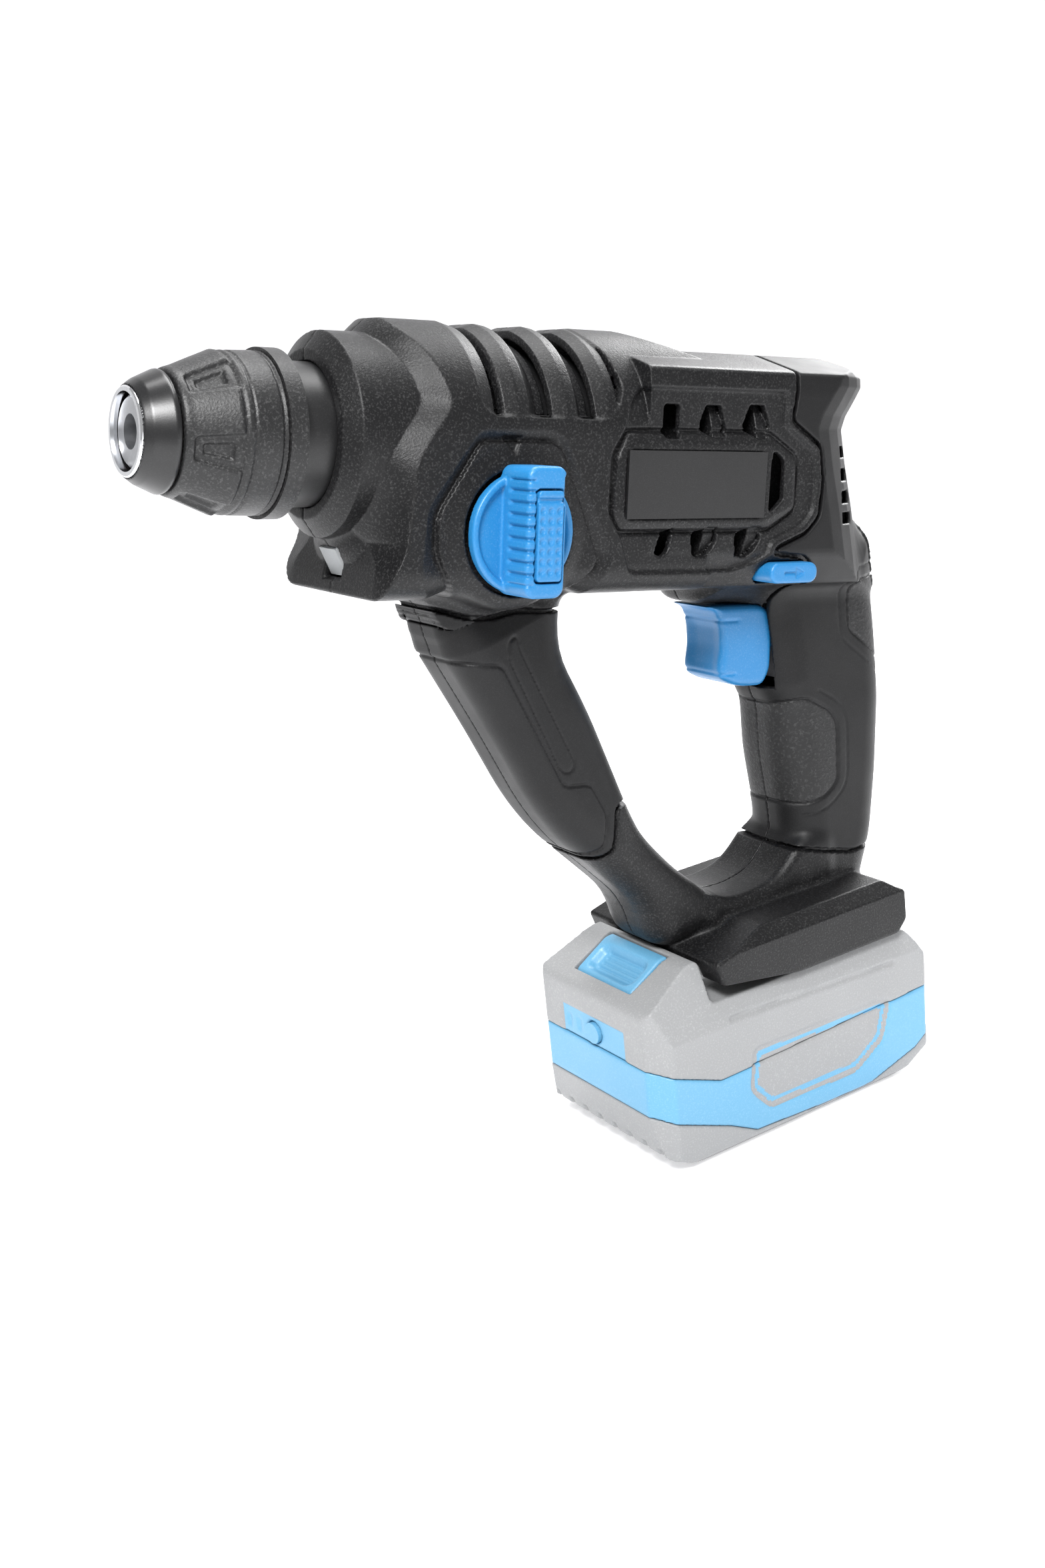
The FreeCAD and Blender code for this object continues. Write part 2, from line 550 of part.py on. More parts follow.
def chuck():
    turned("spindle_blank", [
        (s.nose_x, s.tool_bore), (s.nose_x, s.nose_radius - 0.8), (s.nose_x + 0.8, s.nose_radius),
        (s.journal_front, s.nose_radius), (s.journal_front, s.journal_radius),
        (s.tube_front, s.journal_radius), (s.tube_front, s.tube_radius), (s.tube_rear, s.tube_radius),
        (s.tube_rear, s.tube_bore), (s.tube_step, s.tube_bore), (s.tube_step, s.beat_bore),
        (s.beat_front, s.beat_bore), (s.beat_front, s.tool_bore)], Placement())
    blank = nodes.pop()
    window = rod("lock_window", s.ball_radius + 0.15, 12, (s.ball_x, 0, 0), Rotation())
    node(cut("spindle", blank, window), "spindle", BARREL)
    turned("chuck_ring", [
        (0, s.ring_inner), (0, s.ring_outer - 0.4), (0.4, s.ring_outer), (s.ring_rear, s.ring_outer),
        (s.ring_rear, s.ring_inner)], BARREL)
    turned("dust_cap", [
        (s.cap_front, s.ring_outer + 0.05), (s.cap_front, s.cap_edge), (s.cap_shoulder, s.cap_radius),
        (s.cap_rear, s.cap_radius), (s.cap_rear, s.nose_radius + 0.02), (1.6, s.nose_radius + 0.02),
        (1.6, s.ring_inner - 0.05), (s.ring_rear + 0.05, s.ring_inner - 0.05),
        (s.ring_rear + 0.05, s.ring_outer + 0.05)], BARREL)
    turned("chuck_sleeve", [
        (s.sleeve_front, s.nose_radius + 0.6), (s.sleeve_front, s.sleeve_nose),
        (s.sleeve_shoulder, s.sleeve_radius), (s.sleeve_rear, s.sleeve_radius),
        (s.sleeve_rear, s.sleeve_skirt), (s.sleeve_shoulder + 1, s.sleeve_skirt),
        (s.sleeve_shoulder + 1, s.sleeve_bore), (s.sleeve_front + s.sleeve_lip, s.sleeve_bore),
        (s.sleeve_front + s.sleeve_lip, s.nose_radius + 0.6)], BARREL)
    tube("sleeve_ring", s.sleeve_rear, s.flange_rear, s.sleeve_skirt, s.flange_radius, BARREL)
    tube("lock_ring", s.lock_ring_front, s.lock_ring_rear, s.lock_ring_bore, s.sleeve_bore, BARREL)
    tube("spring_washer", s.washer_front, s.washer_rear, s.nose_radius + 0.02, s.washer_radius, BARREL)
    ball = doc.addObject("Part::Sphere", "lock_ball")
    bind(ball, "Radius", s.ball_radius)
    node(ball, "lock_ball", BARREL * Placement(Vector(s.ball_x.amount, 0, s.ball_height.amount),
        Rotation()))
    tube("spindle_seal", s.seal_front, s.seal_rear, s.journal_radius + s.slack, s.seal_radius, BARREL)
    tube("spindle_bearing", s.bearing_front, s.bearing_rear, s.journal_radius + s.slack,
        s.bearing_radius, BARREL)
    tube("spindle_bush", s.bush_front, s.bush_rear, s.tube_radius + s.slack, s.bush_radius, BARREL)


def coil(label, start, length, radius, wire, turns, place):
    """A helical spring along X."""
    path = Part.makeHelix(length / turns, length, radius)
    ring = Part.Wire(Part.makeCircle(wire, Vector(radius, 0, 0), Vector(0, 1, 0)))
    shape = Part.Wire(path.Edges).makePipeShell([ring], True, True)
    shape.rotate(Vector(0, 0, 0), Vector(0, 1, 0), 90)
    shape.translate(Vector(*start))
    made(label, shape, place)


# ---- hammer mechanism and countershaft

def mechanism():
    turned("countershaft", [
        (s.countershaft_front, 0), (s.countershaft_front, s.countershaft_radius - 0.02),
        (s.countershaft_rear, s.countershaft_radius - 0.02), (s.countershaft_rear, 0)], COUNTER)
    turned("clutch_sleeve", [
        (s.clutch_front, s.countershaft_radius + s.slack), (s.clutch_front, s.clutch_radius),
        (s.knob_x - s.groove_half, s.clutch_radius), (s.knob_x - s.groove_half, s.groove_radius),
        (s.knob_x + s.groove_half, s.groove_radius), (s.knob_x + s.groove_half, s.clutch_radius),
        (s.clutch_rear, s.clutch_radius), (s.clutch_rear, s.countershaft_radius + s.slack)], COUNTER)
    turned("wobble_race", [
        (s.wobble_x - s.race_half, s.countershaft_radius), (s.wobble_x - s.race_half, s.race_radius),
        (s.wobble_x - 2, s.race_radius), (s.wobble_x, s.race_waist), (s.wobble_x + 2, s.race_radius),
        (s.wobble_x + s.race_half, s.race_radius), (s.wobble_x + s.race_half, s.countershaft_radius)],
        COUNTER)
    wobble = s.wobble_x.amount
    drop = s.countershaft_drop.amount
    ring = bar(wobble - s.wobble_half.amount, wobble + s.wobble_half.amount, s.wobble_radius, drop)
    finger = Part.makeCylinder(s.finger_radius.amount, 19, Vector(wobble, 0, -drop + 12),
        Vector(0, 0, 1))
    hole = bar(wobble - 9, wobble + 9, s.wobble_bore, drop)
    made("wobble_ring", ring.fuse(finger).cut(hole).removeSplitter(), BARREL)
    barrel = bar(s.piston_front, s.piston_neck, s.piston_radius)
    fork = brick(s.piston_neck - 2, s.piston_tail, -s.fork_half.amount, s.fork_half.amount, -6.2, 6.2)
    cavity = bar(s.piston_front - 1, s.piston_head, s.piston_bore)
    eye = cross_bar(wobble, 0, -20, 20, s.pin_radius + s.slack)
    way = brick(wobble - 9.5, wobble + 8.5, -4, 4, -20, 20).common(brick(s.piston_neck.amount + 0.2,
        150, -4, 4, -20, 20))
    made("piston", barrel.fuse(fork).cut(merged([cavity, eye, way])).removeSplitter(), BARREL)
    pin = cross_bar(wobble, 0, -s.fork_half.amount, s.fork_half.amount, s.pin_radius)
    finger_hole = Part.makeCylinder(s.finger_radius.amount + 0.25, 20, Vector(wobble, 0, -10),
        Vector(0, 0, 1))
    made("piston_pin", pin.cut(finger_hole), BARREL)
    turned("ram", [
        (s.ram_front, 0), (s.ram_front, s.ram_nose), (s.ram_shoulder, s.ram_nose),
        (s.ram_shoulder, s.ram_radius),
        (s.ram_groove_front, s.ram_radius), (s.ram_groove_front, s.ram_groove),
        (s.ram_groove_rear, s.ram_groove), (s.ram_groove_rear, s.ram_radius),
        (s.ram_rear, s.ram_radius), (s.ram_rear, 0)], BARREL)
    tube("ram_seal", s.ram_groove_front + 0.1, s.ram_groove_rear - 0.1, s.ram_groove + 0.02,
        s.ram_radius + 0.03, BARREL)
    turned("beat_piece", [
        (s.beat_tip, 0), (s.beat_tip, s.beat_tip_radius), (s.beat_neck, s.beat_tip_radius),
        (s.beat_neck, s.beat_radius), (s.beat_shoulder, s.beat_radius),
        (s.beat_shoulder, s.beat_tail_radius),
        (s.beat_tail, s.beat_tail_radius), (s.beat_tail, 0)], BARREL)
    width = s.small_bearing_width.amount
    inner = s.countershaft_radius.amount + s.slack.amount
    pair = []
    for front in (81.5, 150.8):
        pair.append(bar(front, front + width, s.small_bearing_radius).cut(bar(front - 1,
            front + width + 1, inner)))
    made("countershaft_bearings", Part.makeCompound(pair), COUNTER)


def gear_case():
    """The cast case round the gears, with the smooth neck that a side handle clamps to."""
    drop = s.countershaft_drop.amount
    lobe = s.lobe_radius.amount
    front = s.case_front.amount
    rear = s.case_rear.amount
    outer = merged([
        bar(s.neck_front, front, s.neck_radius), bar(front, rear, s.case_radius),
        bar(front, rear, lobe, drop),
        brick(front, rear, -lobe, lobe, -drop, 0)])
    slot = s.case_slot.amount
    inner = merged([
        bar(s.neck_front - 1, s.seal_front, s.journal_radius + 0.3),
        bar(s.seal_front - 0.1, s.bearing_front, s.seal_radius),
        bar(s.bearing_front - 0.1, s.bearing_rear + 0.2, s.bearing_radius),
        bar(s.bearing_rear, front + 4, s.tube_radius + 1.5),
        bar(front + 3, rear + 1, s.case_bore),
        bar(s.lobe_front, rear + 1, s.lobe_bore, drop),
        bar(81.3, s.lobe_front + 1, s.small_bearing_radius, drop),
        bar(79.5, 82, s.countershaft_radius + 0.5, drop),
        brick(s.lobe_front, rear + 1, -slot, slot, -drop, 0),
        cross_bar(s.knob_x, s.knob_z, -30, -10, s.knob_shaft + 0.5)])
    web = bar(s.bush_front, s.bush_rear, s.case_bore + 0.5).cut(bar(100, 120, s.bush_radius))
    web = web.cut(brick(100, 120, -slot, slot, -40, -12))
    heel = slab([(60, -30), (75.2, -34), (84, -47), (60, -47)], -40, 40)
    case = outer.cut(heel).cut(inner).fuse(web)
    shaft_way = bar(s.bush_front - 1, s.bush_rear + 1, 9.6, drop)
    made("gear_case", case.cut(shaft_way).removeSplitter(), BARREL)
    front = rear + 0.2
    rear = s.plate_rear.amount
    plate = merged([
        bar(front, rear, s.case_radius), bar(front, rear, lobe, drop),
        brick(front, rear, -lobe, lobe, -drop, 0)])
    holes = merged([
        bar(front - 1, 156.0, s.small_bearing_radius, drop),
        bar(155, 158, s.countershaft_radius + 0.6, drop),
        bar(front - 1, 153.0, 6.0, s.motor_drop),
        bar(s.front_bearing - 0.1, s.front_bearing + 5.1, s.small_bearing_radius, s.motor_drop),
        bar(157, rear + 1, 5.0, s.motor_drop)])
    made("bearing_plate", plate.cut(holes).removeSplitter(), BARREL)


# ---- motor, in its own frame on the motor's axis

def motor():
    turned("rotor_shaft", [
        (s.shaft_front, 0), (s.shaft_front, s.pinion_seat), (s.shaft_step, s.pinion_seat),
        (s.shaft_step, s.shaft_radius - 0.02), (s.shaft_rear, s.shaft_radius - 0.02),
        (s.shaft_rear, 0)], MOTOR)
    tube("rotor_core", s.stator_front, s.stator_rear, s.shaft_radius, s.rotor_radius, MOTOR)
    stack = bar(s.stator_front, s.stator_rear, s.stator_radius)
    bore = bar(s.stator_front - 1, s.stator_rear + 1, s.stator_bore)
    slots = []
    windings = []
    count = int(s.stator_slots.amount)
    for number in range(count):
        angle = 360.0 * number / count
        slot = brick(
            s.stator_front - 1, s.stator_rear + 1, -5.2, 5.2, s.winding_inner.amount,
            s.slot_floor.amount)
        slots.append(turned_by(slot, angle))
        bundle = brick(
            s.stator_front - s.winding_over, s.stator_rear + s.winding_over, -5.0, 5.0,
            s.winding_inner.amount + 0.2, s.slot_floor.amount - 0.2)
        windings.append(turned_by(bundle, angle))
    made("stator_core", stack.cut(merged([bore] + slots)), MOTOR)
    made("stator_windings", Part.makeCompound(windings), MOTOR)
    tube("sensor_board", s.sensor_front, s.sensor_rear, s.sensor_hole, s.sensor_radius, MOTOR)
    hub = bar(s.fan_front, s.fan_rear, s.fan_hub)
    disc = bar(s.fan_rear - 1.6, s.fan_rear, s.fan_radius)
    blades = []
    count = int(s.fan_blades.amount)
    for number in range(count):
        blade = brick(s.fan_front, s.fan_rear - 0.5, -0.6, 0.6, s.fan_hub.amount - 0.5,
            s.fan_radius.amount - 0.4)
        blade.rotate(Vector(0, 0, s.fan_hub.amount), Vector(1, 0, 0), 24)
        blades.append(turned_by(blade, 360.0 * number / count).common(bar(100, 200, s.fan_radius)))
    fan = merged([hub, disc] + blades).cut(bar(150, 190, s.shaft_radius))
    made("cooling_fan", fan, MOTOR)
    pair = []
    for front in (s.front_bearing.amount, s.rear_bearing.amount):
        ring = bar(front, front + 5, s.small_bearing_radius)
        pair.append(ring.cut(bar(front - 1, front + 6, s.shaft_radius + s.slack)))
    made("motor_bearings", Part.makeCompound(pair), MOTOR)


# ---- controls

def selector():
    x = s.knob_x.amount
    z = s.knob_z.amount
    face = s.body_half.amount + s.gap.amount
    disc = cross_bar(x, z, -face - s.knob_disc.amount, -face, s.knob_radius)
    half = s.knob_bar_half.amount
    up = s.knob_bar_up.amount
    down = s.knob_bar_down.amount
    top = s.knob_top.amount
    grip = brick(x - half, x + half, -top, -face, z - down, z + up)
    shaft = cross_bar(x, z, -face - 1, -s.knob_shaft_end.amount, s.knob_shaft)
    length = s.button_length.amount
    pocket_half = s.button_half.amount + s.gap.amount
    pocket = brick(
        x - pocket_half, x + pocket_half, -top - 1, -top + 6, z - length / 2 - s.gap.amount,
        z + length / 2 + s.gap.amount)
    socket = cross_bar(x, z + s.shift_throw.amount, -30, -10, s.shift_pin)
    made("mode_knob", merged([disc, grip, shaft]).cut(merged([pocket, socket])), BARREL)
    half = s.button_half.amount
    button = block(
        "knob_button_block", x - half, -top - 0.6, z - length / 2, half * 2, s.button_drop,
        s.button_length)
    node(button, "knob_button", BARREL * button.Placement)
    pin = rod(
        "shift_pin_rod", s.shift_pin, 24 - s.shift_end.amount, (x, -24, z + s.shift_throw.amount),
        ALONG_Y)
    node(pin, "shift_pin", BARREL * pin.Placement)


def controls():
    half = s.trigger_half.amount
    blade = slab(TRIGGER, -half, half)
    stem = bar(240, s.stem_end, s.trigger_stem, -s.stem_z)
    made("trigger", blade.fuse(stem).removeSplitter(), BARREL)
    case = block(
        "switch_case", s.switch_front, -s.switch_half, s.switch_top - s.switch_height,
        s.switch_length, s.switch_half * 2, s.switch_height)
    way = rod("switch_way", s.trigger_stem + s.gap, 14, (s.switch_front - 1, 0, s.stem_z), ALONG_X)
    node(cut("switch_module", case, way), "switch_module", BARREL)
    bar_block = block(
        "direction_bar", s.bar_x - s.bar_length * 0.5, -s.bar_half, s.bar_z - s.bar_height * 0.5,
        s.bar_length, s.bar_half * 2, s.bar_height)
    node(bar_block, "direction_switch", BARREL * bar_block.Placement)
    made("work_light_lens", lens_slot(0), BARREL)
    board = block("control_plate", 8, -28, 13.4, 50, 56, 1.6)
    node(board, "control_board", FOOT * board.Placement)


def terminals():
    """The terminal block at the rear of the battery channel, with its four blades facing forward."""
    body = brick(s.channel_rear.amount + 0.4, 84, -20, 20, 1.2, 13.6)
    blades = [brick(50, s.channel_rear.amount + 1, y - 0.4, y + 0.4, 5.4, 9.4) for y in (-15, -5, 5,
        15)]
    made("terminal_block", merged([body] + blades), FOOT)


# ---- battery

PACK_SIDE = [
    (-31, -53), (-20, -58), (-14, -60), (81, -60), (99.2, -49.9), (101.9, -25.2), (101.4, -18.1),
    (88.6, -0.7),
    (-5.6, -0.7), (-5.6, 14.2), (-12, 13.6), (-34, 2), (-34, -37)]


def pack_zone(low, high):
    return brick(-60, 140, -60, 60, low, high)


def pack_solid(grow, half):
    """The whole pack's outer shape, or the hollow inside it when grow is negative."""
    points = PACK_SIDE if grow == 0 else inset(PACK_SIDE, -grow)
    left = slab(points, -(half - 4), half - 4)
    middle = slab(inset(points, 2.0), -(half - 1.2), half - 1.2)
    return left.fuse([middle, slab(inset(points, 4.0), -half, half)])


def battery():
    half = s.battery_half.amount
    wall = s.battery_wall.amount
    outer = pack_solid(0, half)
    hollow = slab(inset(PACK_SIDE, wall + 2), -(half - wall - 1.5), half - wall - 1.5)
    hollow = hollow.common(pack_zone(-57.6, -3.2))
    shell = outer.cut(hollow)
    band = shell.common(pack_zone(s.band_bottom.amount, s.band_top.amount))
    lower = shell.common(pack_zone(-100, s.band_bottom.amount))
    upper = shell.common(pack_zone(s.band_top.amount, 100))
    neck = brick(-6, s.tongue_rear, -s.tongue_neck.amount, s.tongue_neck.amount, -1.5,
        s.tongue_low.amount + 1)
    head = brick(-6, s.tongue_rear, -s.tongue_head.amount, s.tongue_head.amount, s.tongue_low,
        s.tongue_top)
    slots = [brick(48, 70, y - 1, y + 1, 4.8, 12) for y in (-15, -5, 5, 15)]
    pocket = brick(
        s.latch_front.amount - 0.5, s.latch_rear.amount + 0.5, -s.latch_half.amount - 0.5,
        s.latch_half.amount + 0.5,
        s.latch_bottom.amount - 4.2, 20)
    gauge = bar(-40, -20, s.gauge_radius + s.gap, -s.gauge_v)
    upper = upper.fuse([neck, head]).cut(merged([pocket, gauge] + slots))
    made("battery_upper_shell", upper.removeSplitter(), FOOT)
    made("battery_band", band.removeSplitter(), FOOT)
    made("battery_lower_shell", lower.removeSplitter(), FOOT)
    latch = slab([
        (s.latch_front.amount, s.latch_bottom.amount), (s.latch_rear.amount, s.latch_bottom.amount),
        (s.latch_rear.amount, 13.6), (s.latch_rear.amount - 4, 13.2), (s.latch_front.amount, 4.8)],
        -s.latch_half.amount, s.latch_half.amount)
    made("battery_latch", latch, FOOT)
    button = rod("gauge_rod", s.gauge_radius, 5, (s.gauge_face, 0, s.gauge_v), ALONG_X)
    node(button, "gauge_button", FOOT * button.Placement)
    cells = []
    for layer in range(2):
        for place in range(5):
            u = s.cell_u.amount + (place - 2) * s.cell_pitch.amount
            v = s.cell_low.amount + layer * s.cell_pitch.amount
            cells.append(cross_bar(u, v, -s.cell_half.amount, s.cell_half.amount, s.cell_radius))
    made("battery_cells", Part.makeCompound(cells), FOOT)
    board = block("battery_plate", 0, -26, -9.2, 70, 52, 1.6)
    node(board, "battery_board", FOOT * board.Placement)


housing()
rubbers()
badges()
screws()
gear_case()
chuck()
coil("sleeve_spring", (24.5, 0, 0), 14.7, 14.0, 0.75, 4.5, BARREL)
gears()
mechanism()
motor()
selector()
controls()
terminals()
battery()

doc.recompute()
for piece in doc.Objects:
    if "Invalid" in piece.State or "Error" in piece.State:
        raise RuntimeError("failed: %s %s" % (piece.Label, piece.State))
os.makedirs("parts", exist_ok=True)
for piece in nodes:
    if piece.Shape.isNull() or not piece.Shape.isValid() or piece.Shape.Volume <= 0:
        raise RuntimeError("bad shape: " + piece.Label)
    piece.Shape.exportStep("parts/%s.step" % piece.Label)
    print("%-24s solids %2d volume %9.1f" % (piece.Label, len(piece.Shape.Solids), piece.Shape.Volume))
print(len(nodes), "nodes")
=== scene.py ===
import json
import math
import bpy
import numpy as np
from mathutils import Matrix, Vector


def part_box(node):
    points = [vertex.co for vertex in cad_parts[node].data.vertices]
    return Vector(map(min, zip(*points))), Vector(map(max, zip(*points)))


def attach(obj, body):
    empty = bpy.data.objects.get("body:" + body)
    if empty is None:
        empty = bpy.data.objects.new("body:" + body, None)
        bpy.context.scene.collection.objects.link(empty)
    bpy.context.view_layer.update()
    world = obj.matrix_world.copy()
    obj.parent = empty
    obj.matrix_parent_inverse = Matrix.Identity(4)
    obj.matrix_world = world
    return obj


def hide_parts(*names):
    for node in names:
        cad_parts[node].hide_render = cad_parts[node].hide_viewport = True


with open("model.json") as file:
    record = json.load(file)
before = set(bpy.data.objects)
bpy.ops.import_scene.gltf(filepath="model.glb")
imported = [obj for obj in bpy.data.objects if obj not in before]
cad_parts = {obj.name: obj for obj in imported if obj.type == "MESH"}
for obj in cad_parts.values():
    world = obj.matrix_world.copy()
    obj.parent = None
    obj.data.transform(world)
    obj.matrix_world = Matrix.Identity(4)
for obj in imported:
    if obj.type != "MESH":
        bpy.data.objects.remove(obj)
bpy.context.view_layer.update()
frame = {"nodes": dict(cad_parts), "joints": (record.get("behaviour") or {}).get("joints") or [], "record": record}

MM = 0.001
FINE = 1.0

# ---- the two frames the tool is drawn in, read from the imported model
# Barrel frame, millimetres: +X back along the barrel from the chuck's front ring, +Z up.
# Foot frame, millimetres: the row frame's axes from the foot's front lower edge.

joint = {entry["name"]: entry for entry in frame["joints"]}


def middle(node):
    """The middle of a CAD piece's bounds."""
    low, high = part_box(node)
    return (low + high) / 2


along = Vector(joint["spindle_spin"]["axis"]).normalized()
BEARING_MIDDLE = 66.5
BARREL = Matrix.Translation(middle("spindle_bearing") - along * BEARING_MIDDLE * MM)
BARREL = BARREL @ Matrix.Rotation(math.atan2(-along.z, along.x), 4, "Y")
BOARD_LOW = -9.2
board_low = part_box("battery_board")[0]
FOOT = Matrix.Translation((board_low.x, 0.0, board_low.z - BOARD_LOW * MM))
TO_FOOT = FOOT.inverted() @ BARREL


def foot_axes(x, z):
    """The foot frame's along and up at barrel-frame places."""
    turn = TO_FOOT.to_3x3()
    shift = TO_FOOT.translation / MM
    return turn[0][0] * x + turn[0][2] * z + shift.x, turn[2][0] * x + turn[2][2] * z + shift.z


# ---- distance fields: negative inside, millimetres

def rounded(points, radius, steps=4):
    """A closed outline with each corner turned into a short curve."""
    result = []
    count = len(points)
    for i in range(count):
        corner = np.array(points[i], float)
        before = np.array(points[i - 1], float) - corner
        after = np.array(points[(i + 1) % count], float) - corner
        reach_before, reach_after = np.linalg.norm(before), np.linalg.norm(after)
        start = corner + before * min(radius / reach_before, 0.45)
        end = corner + after * min(radius / reach_after, 0.45)
        for k in range(steps + 1):
            t = k / steps
            result.append(tuple((1 - t) ** 2 * start + 2 * t * (1 - t) * corner + t * t * end))
    return result


def curve(points, steps=6):
    """A smooth open line through the points."""
    p = [np.array(q, float) for q in points]
    p = [2 * p[0] - p[1]] + p + [2 * p[-1] - p[-2]]
    result = []
    for i in range(1, len(p) - 2):
        for k in range(steps):
            t = k / steps
            a, b, c, d = p[i - 1], p[i], p[i + 1], p[i + 2]
            square, cube = 2 * a - 5 * b + 4 * c - d, 3 * b - a - 3 * c + d
            result.append(tuple(0.5 * (2 * b + (c - a) * t + square * t * t + cube * t ** 3)))
    return result + [tuple(p[-2])]


def to_edge(p, q, x0, y0, x1, y1):
    """Squared distance to a straight edge."""
    ex, ey = x1 - x0, y1 - y0
    wx, wy = p - x0, q - y0
    t = np.clip((wx * ex + wy * ey) / (ex * ex + ey * ey + 1e-9), 0, 1)
    return (wx - ex * t) ** 2 + (wy - ey * t) ** 2


def outline(p, q, points):
    """Distance to a closed outline, negative inside."""
    best = None
    inside = np.zeros(np.broadcast(p, q).shape, bool)
    for (x0, y0), (x1, y1) in zip(points, points[1:] + points[:1]):
        d = to_edge(p, q, x0, y0, x1, y1)
        best = d if best is None else np.minimum(best, d)
        across = ((y0 <= q) & (q < y1)) | ((y1 <= q) & (q < y0))
        rise = y1 - y0 if abs(y1 - y0) > 1e-9 else 1e-9
        inside ^= across & (p < x0 + (q - y0) * (x1 - x0) / rise)
    return np.where(inside, -1, 1) * np.sqrt(best)


def trace(p, q, points):
    """Distance to an open line."""
    best = None
    for (x0, y0), (x1, y1) in zip(points, points[1:]):
        d = to_edge(p, q, x0, y0, x1, y1)
        best = d if best is None else np.minimum(best, d)
    return np.sqrt(best)


def fade(distance, ramp):
    """1 well inside, 0 well outside, over the ramp's width."""
    t = np.clip(0.5 - distance / ramp, 0, 1)
    return t * t * (3 - 2 * t)


def groove(line, width, depth):
    """The depth of a soft-edged groove along a line."""
    return depth * fade(line - width / 2, width * 0.5)


def blended(a, b, k):
    """The union of two fields with a fillet about k wide."""
    h = np.clip(0.5 + 0.5 * (b - a) / k, 0, 1)
    return b + (a - b) * h - k * h * (1 - h)


def pillow(side, across, radius):
    """What lies inside both fields, with the edge between them rounded."""
    a, b = side + radius, across + radius
    return np.hypot(np.maximum(a, 0), np.maximum(b, 0)) + np.minimum(np.maximum(a, b), 0) - radius


def box2(p, q, half_p, half_q, radius):
    """A rectangle round the origin, with rounded corners."""
    return pillow(np.abs(p) - half_p, np.abs(q) - half_q, radius)


# ---- surfaces from fields

class Grid:
    """Sample places over a box, as three arrays that broadcast together."""

    def __init__(self, low, high, step):
        self.low = np.array(low, float)
        self.step = step * FINE
        counts = np.ceil((np.array(high) - self.low) / self.step).astype(int) + 1
        axes = [self.low[i] + self.step * np.arange(counts[i]) for i in range(3)]
        self.x = axes[0].astype(np.float32).reshape(-1, 1, 1)
        self.y = axes[1].astype(np.float32).reshape(1, -1, 1)
        self.z = axes[2].astype(np.float32).reshape(1, 1, -1)

    def whole(self, field):
        shape = (self.x.size, self.y.size, self.z.size)
        return np.array(np.broadcast_to(field, shape), dtype=np.float32)


def surface(grid, field):
    """Vertices and quads of a field's zero surface.

    Each crossed cell gets one vertex, in the middle of its crossings.
    """
    f = grid.whole(field)
    for axis in range(3):
        for end in (0, -1):
            f[tuple(end if i == axis else slice(None) for i in range(3))] = 1.0
    inside = f < 0
    count = np.zeros(tuple(n - 1 for n in f.shape), np.int8)
    for i in (0, 1):
        for j in (0, 1):
            for k in (0, 1):
                count += inside[i:i + count.shape[0], j:j + count.shape[1], k:k + count.shape[2]]
    active = (count > 0) & (count < 8)
    number = np.full(active.shape, -1, np.int32)
    number[active] = np.arange(int(active.sum()))
    cells = np.argwhere(active)
    total = np.zeros((len(cells), 3))
    hits = np.zeros(len(cells))
    for axis in range(3):
        unit = np.eye(3, dtype=int)[axis]
        for a in (0, 1):
            for b in (0, 1):
                offset = np.insert([a, b], axis, 0)
                first = cells + offset
                second = first + unit
                f0 = f[tuple(first.T)]
                f1 = f[tuple(second.T)]
                crossed = (f0 < 0) != (f1 < 0)
                share = f0[crossed] / (f0[crossed] - f1[crossed])
                total[crossed] += offset + share[:, None] * unit
                hits[crossed] += 1
    vertices = grid.low + grid.step * (cells + total / hits[:, None])
    quads = []
    for axis in range(3):
        ahead = tuple(slice(1, None) if i == axis else slice(None) for i in range(3))
        back = tuple(slice(None, -1) if i == axis else slice(None) for i in range(3))
        edges = np.argwhere(inside[ahead] != inside[back])
        b, c = (axis + 1) % 3, (axis + 2) % 3
        ub, uc = np.eye(3, dtype=int)[b], np.eye(3, dtype=int)[c]
        around = [number[tuple((edges - ub * i - uc * j).T)] for i,
            j in ((1, 1), (0, 1), (0, 0), (1, 0))]
        quad = np.stack(around, axis=1)
        flip = ~inside[tuple(edges.T)]
        quad[flip] = quad[flip][:, ::-1]
        quads.append(quad)
    return vertices, np.concatenate(quads)


def piece_from(name, vertices, faces, place, mirror=False):
    """A mesh piece in the row frame from places in millimetres."""
    points = vertices * MM
    if mirror:
        points = points * (1, -1, 1)
        faces = faces[:, ::-1]
    mesh = bpy.data.meshes.new(name)
    mesh.vertices.add(len(points))
    mesh.vertices.foreach_set("co", points.astype(np.float32).ravel())
    size = faces.shape[1]
    mesh.loops.add(faces.size)
    mesh.loops.foreach_set("vertex_index", faces.astype(np.int32).ravel())
    mesh.polygons.add(len(faces))
    mesh.polygons.foreach_set("loop_start", np.arange(0, faces.size, size, dtype=np.int32))
    mesh.update(calc_edges=True)
    mesh.validate()
    mesh.transform(place)
    mesh.polygons.foreach_set("use_smooth", np.ones(len(mesh.polygons), bool))
    piece = bpy.data.objects.new(name, mesh)
    bpy.context.scene.collection.objects.link(piece)
    return piece


MOST_TRIANGLES = 150000


def sculpted(name, grid, field, place, body, material, nodes, mirror=False, keep=0.5):
    """A piece from a field, thinned and shaded smoothly, riding a body in place of its CAD nodes."""
    vertices, quads = surface(grid, field)
    piece = piece_from(name, vertices, quads, place, mirror)
    triangles = 2 * len(quads)
    thin = piece.modifiers.new("thin", "DECIMATE")
    thin.ratio = min(keep, MOST_TRIANGLES / max(triangles, 1))
    shade = piece.modifiers.new("shade", "WEIGHTED_NORMAL")
    shade.weight = 80
    piece.data.materials.append(material)
    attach(piece, body)
    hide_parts(*nodes)
    return piece


# ---- materials

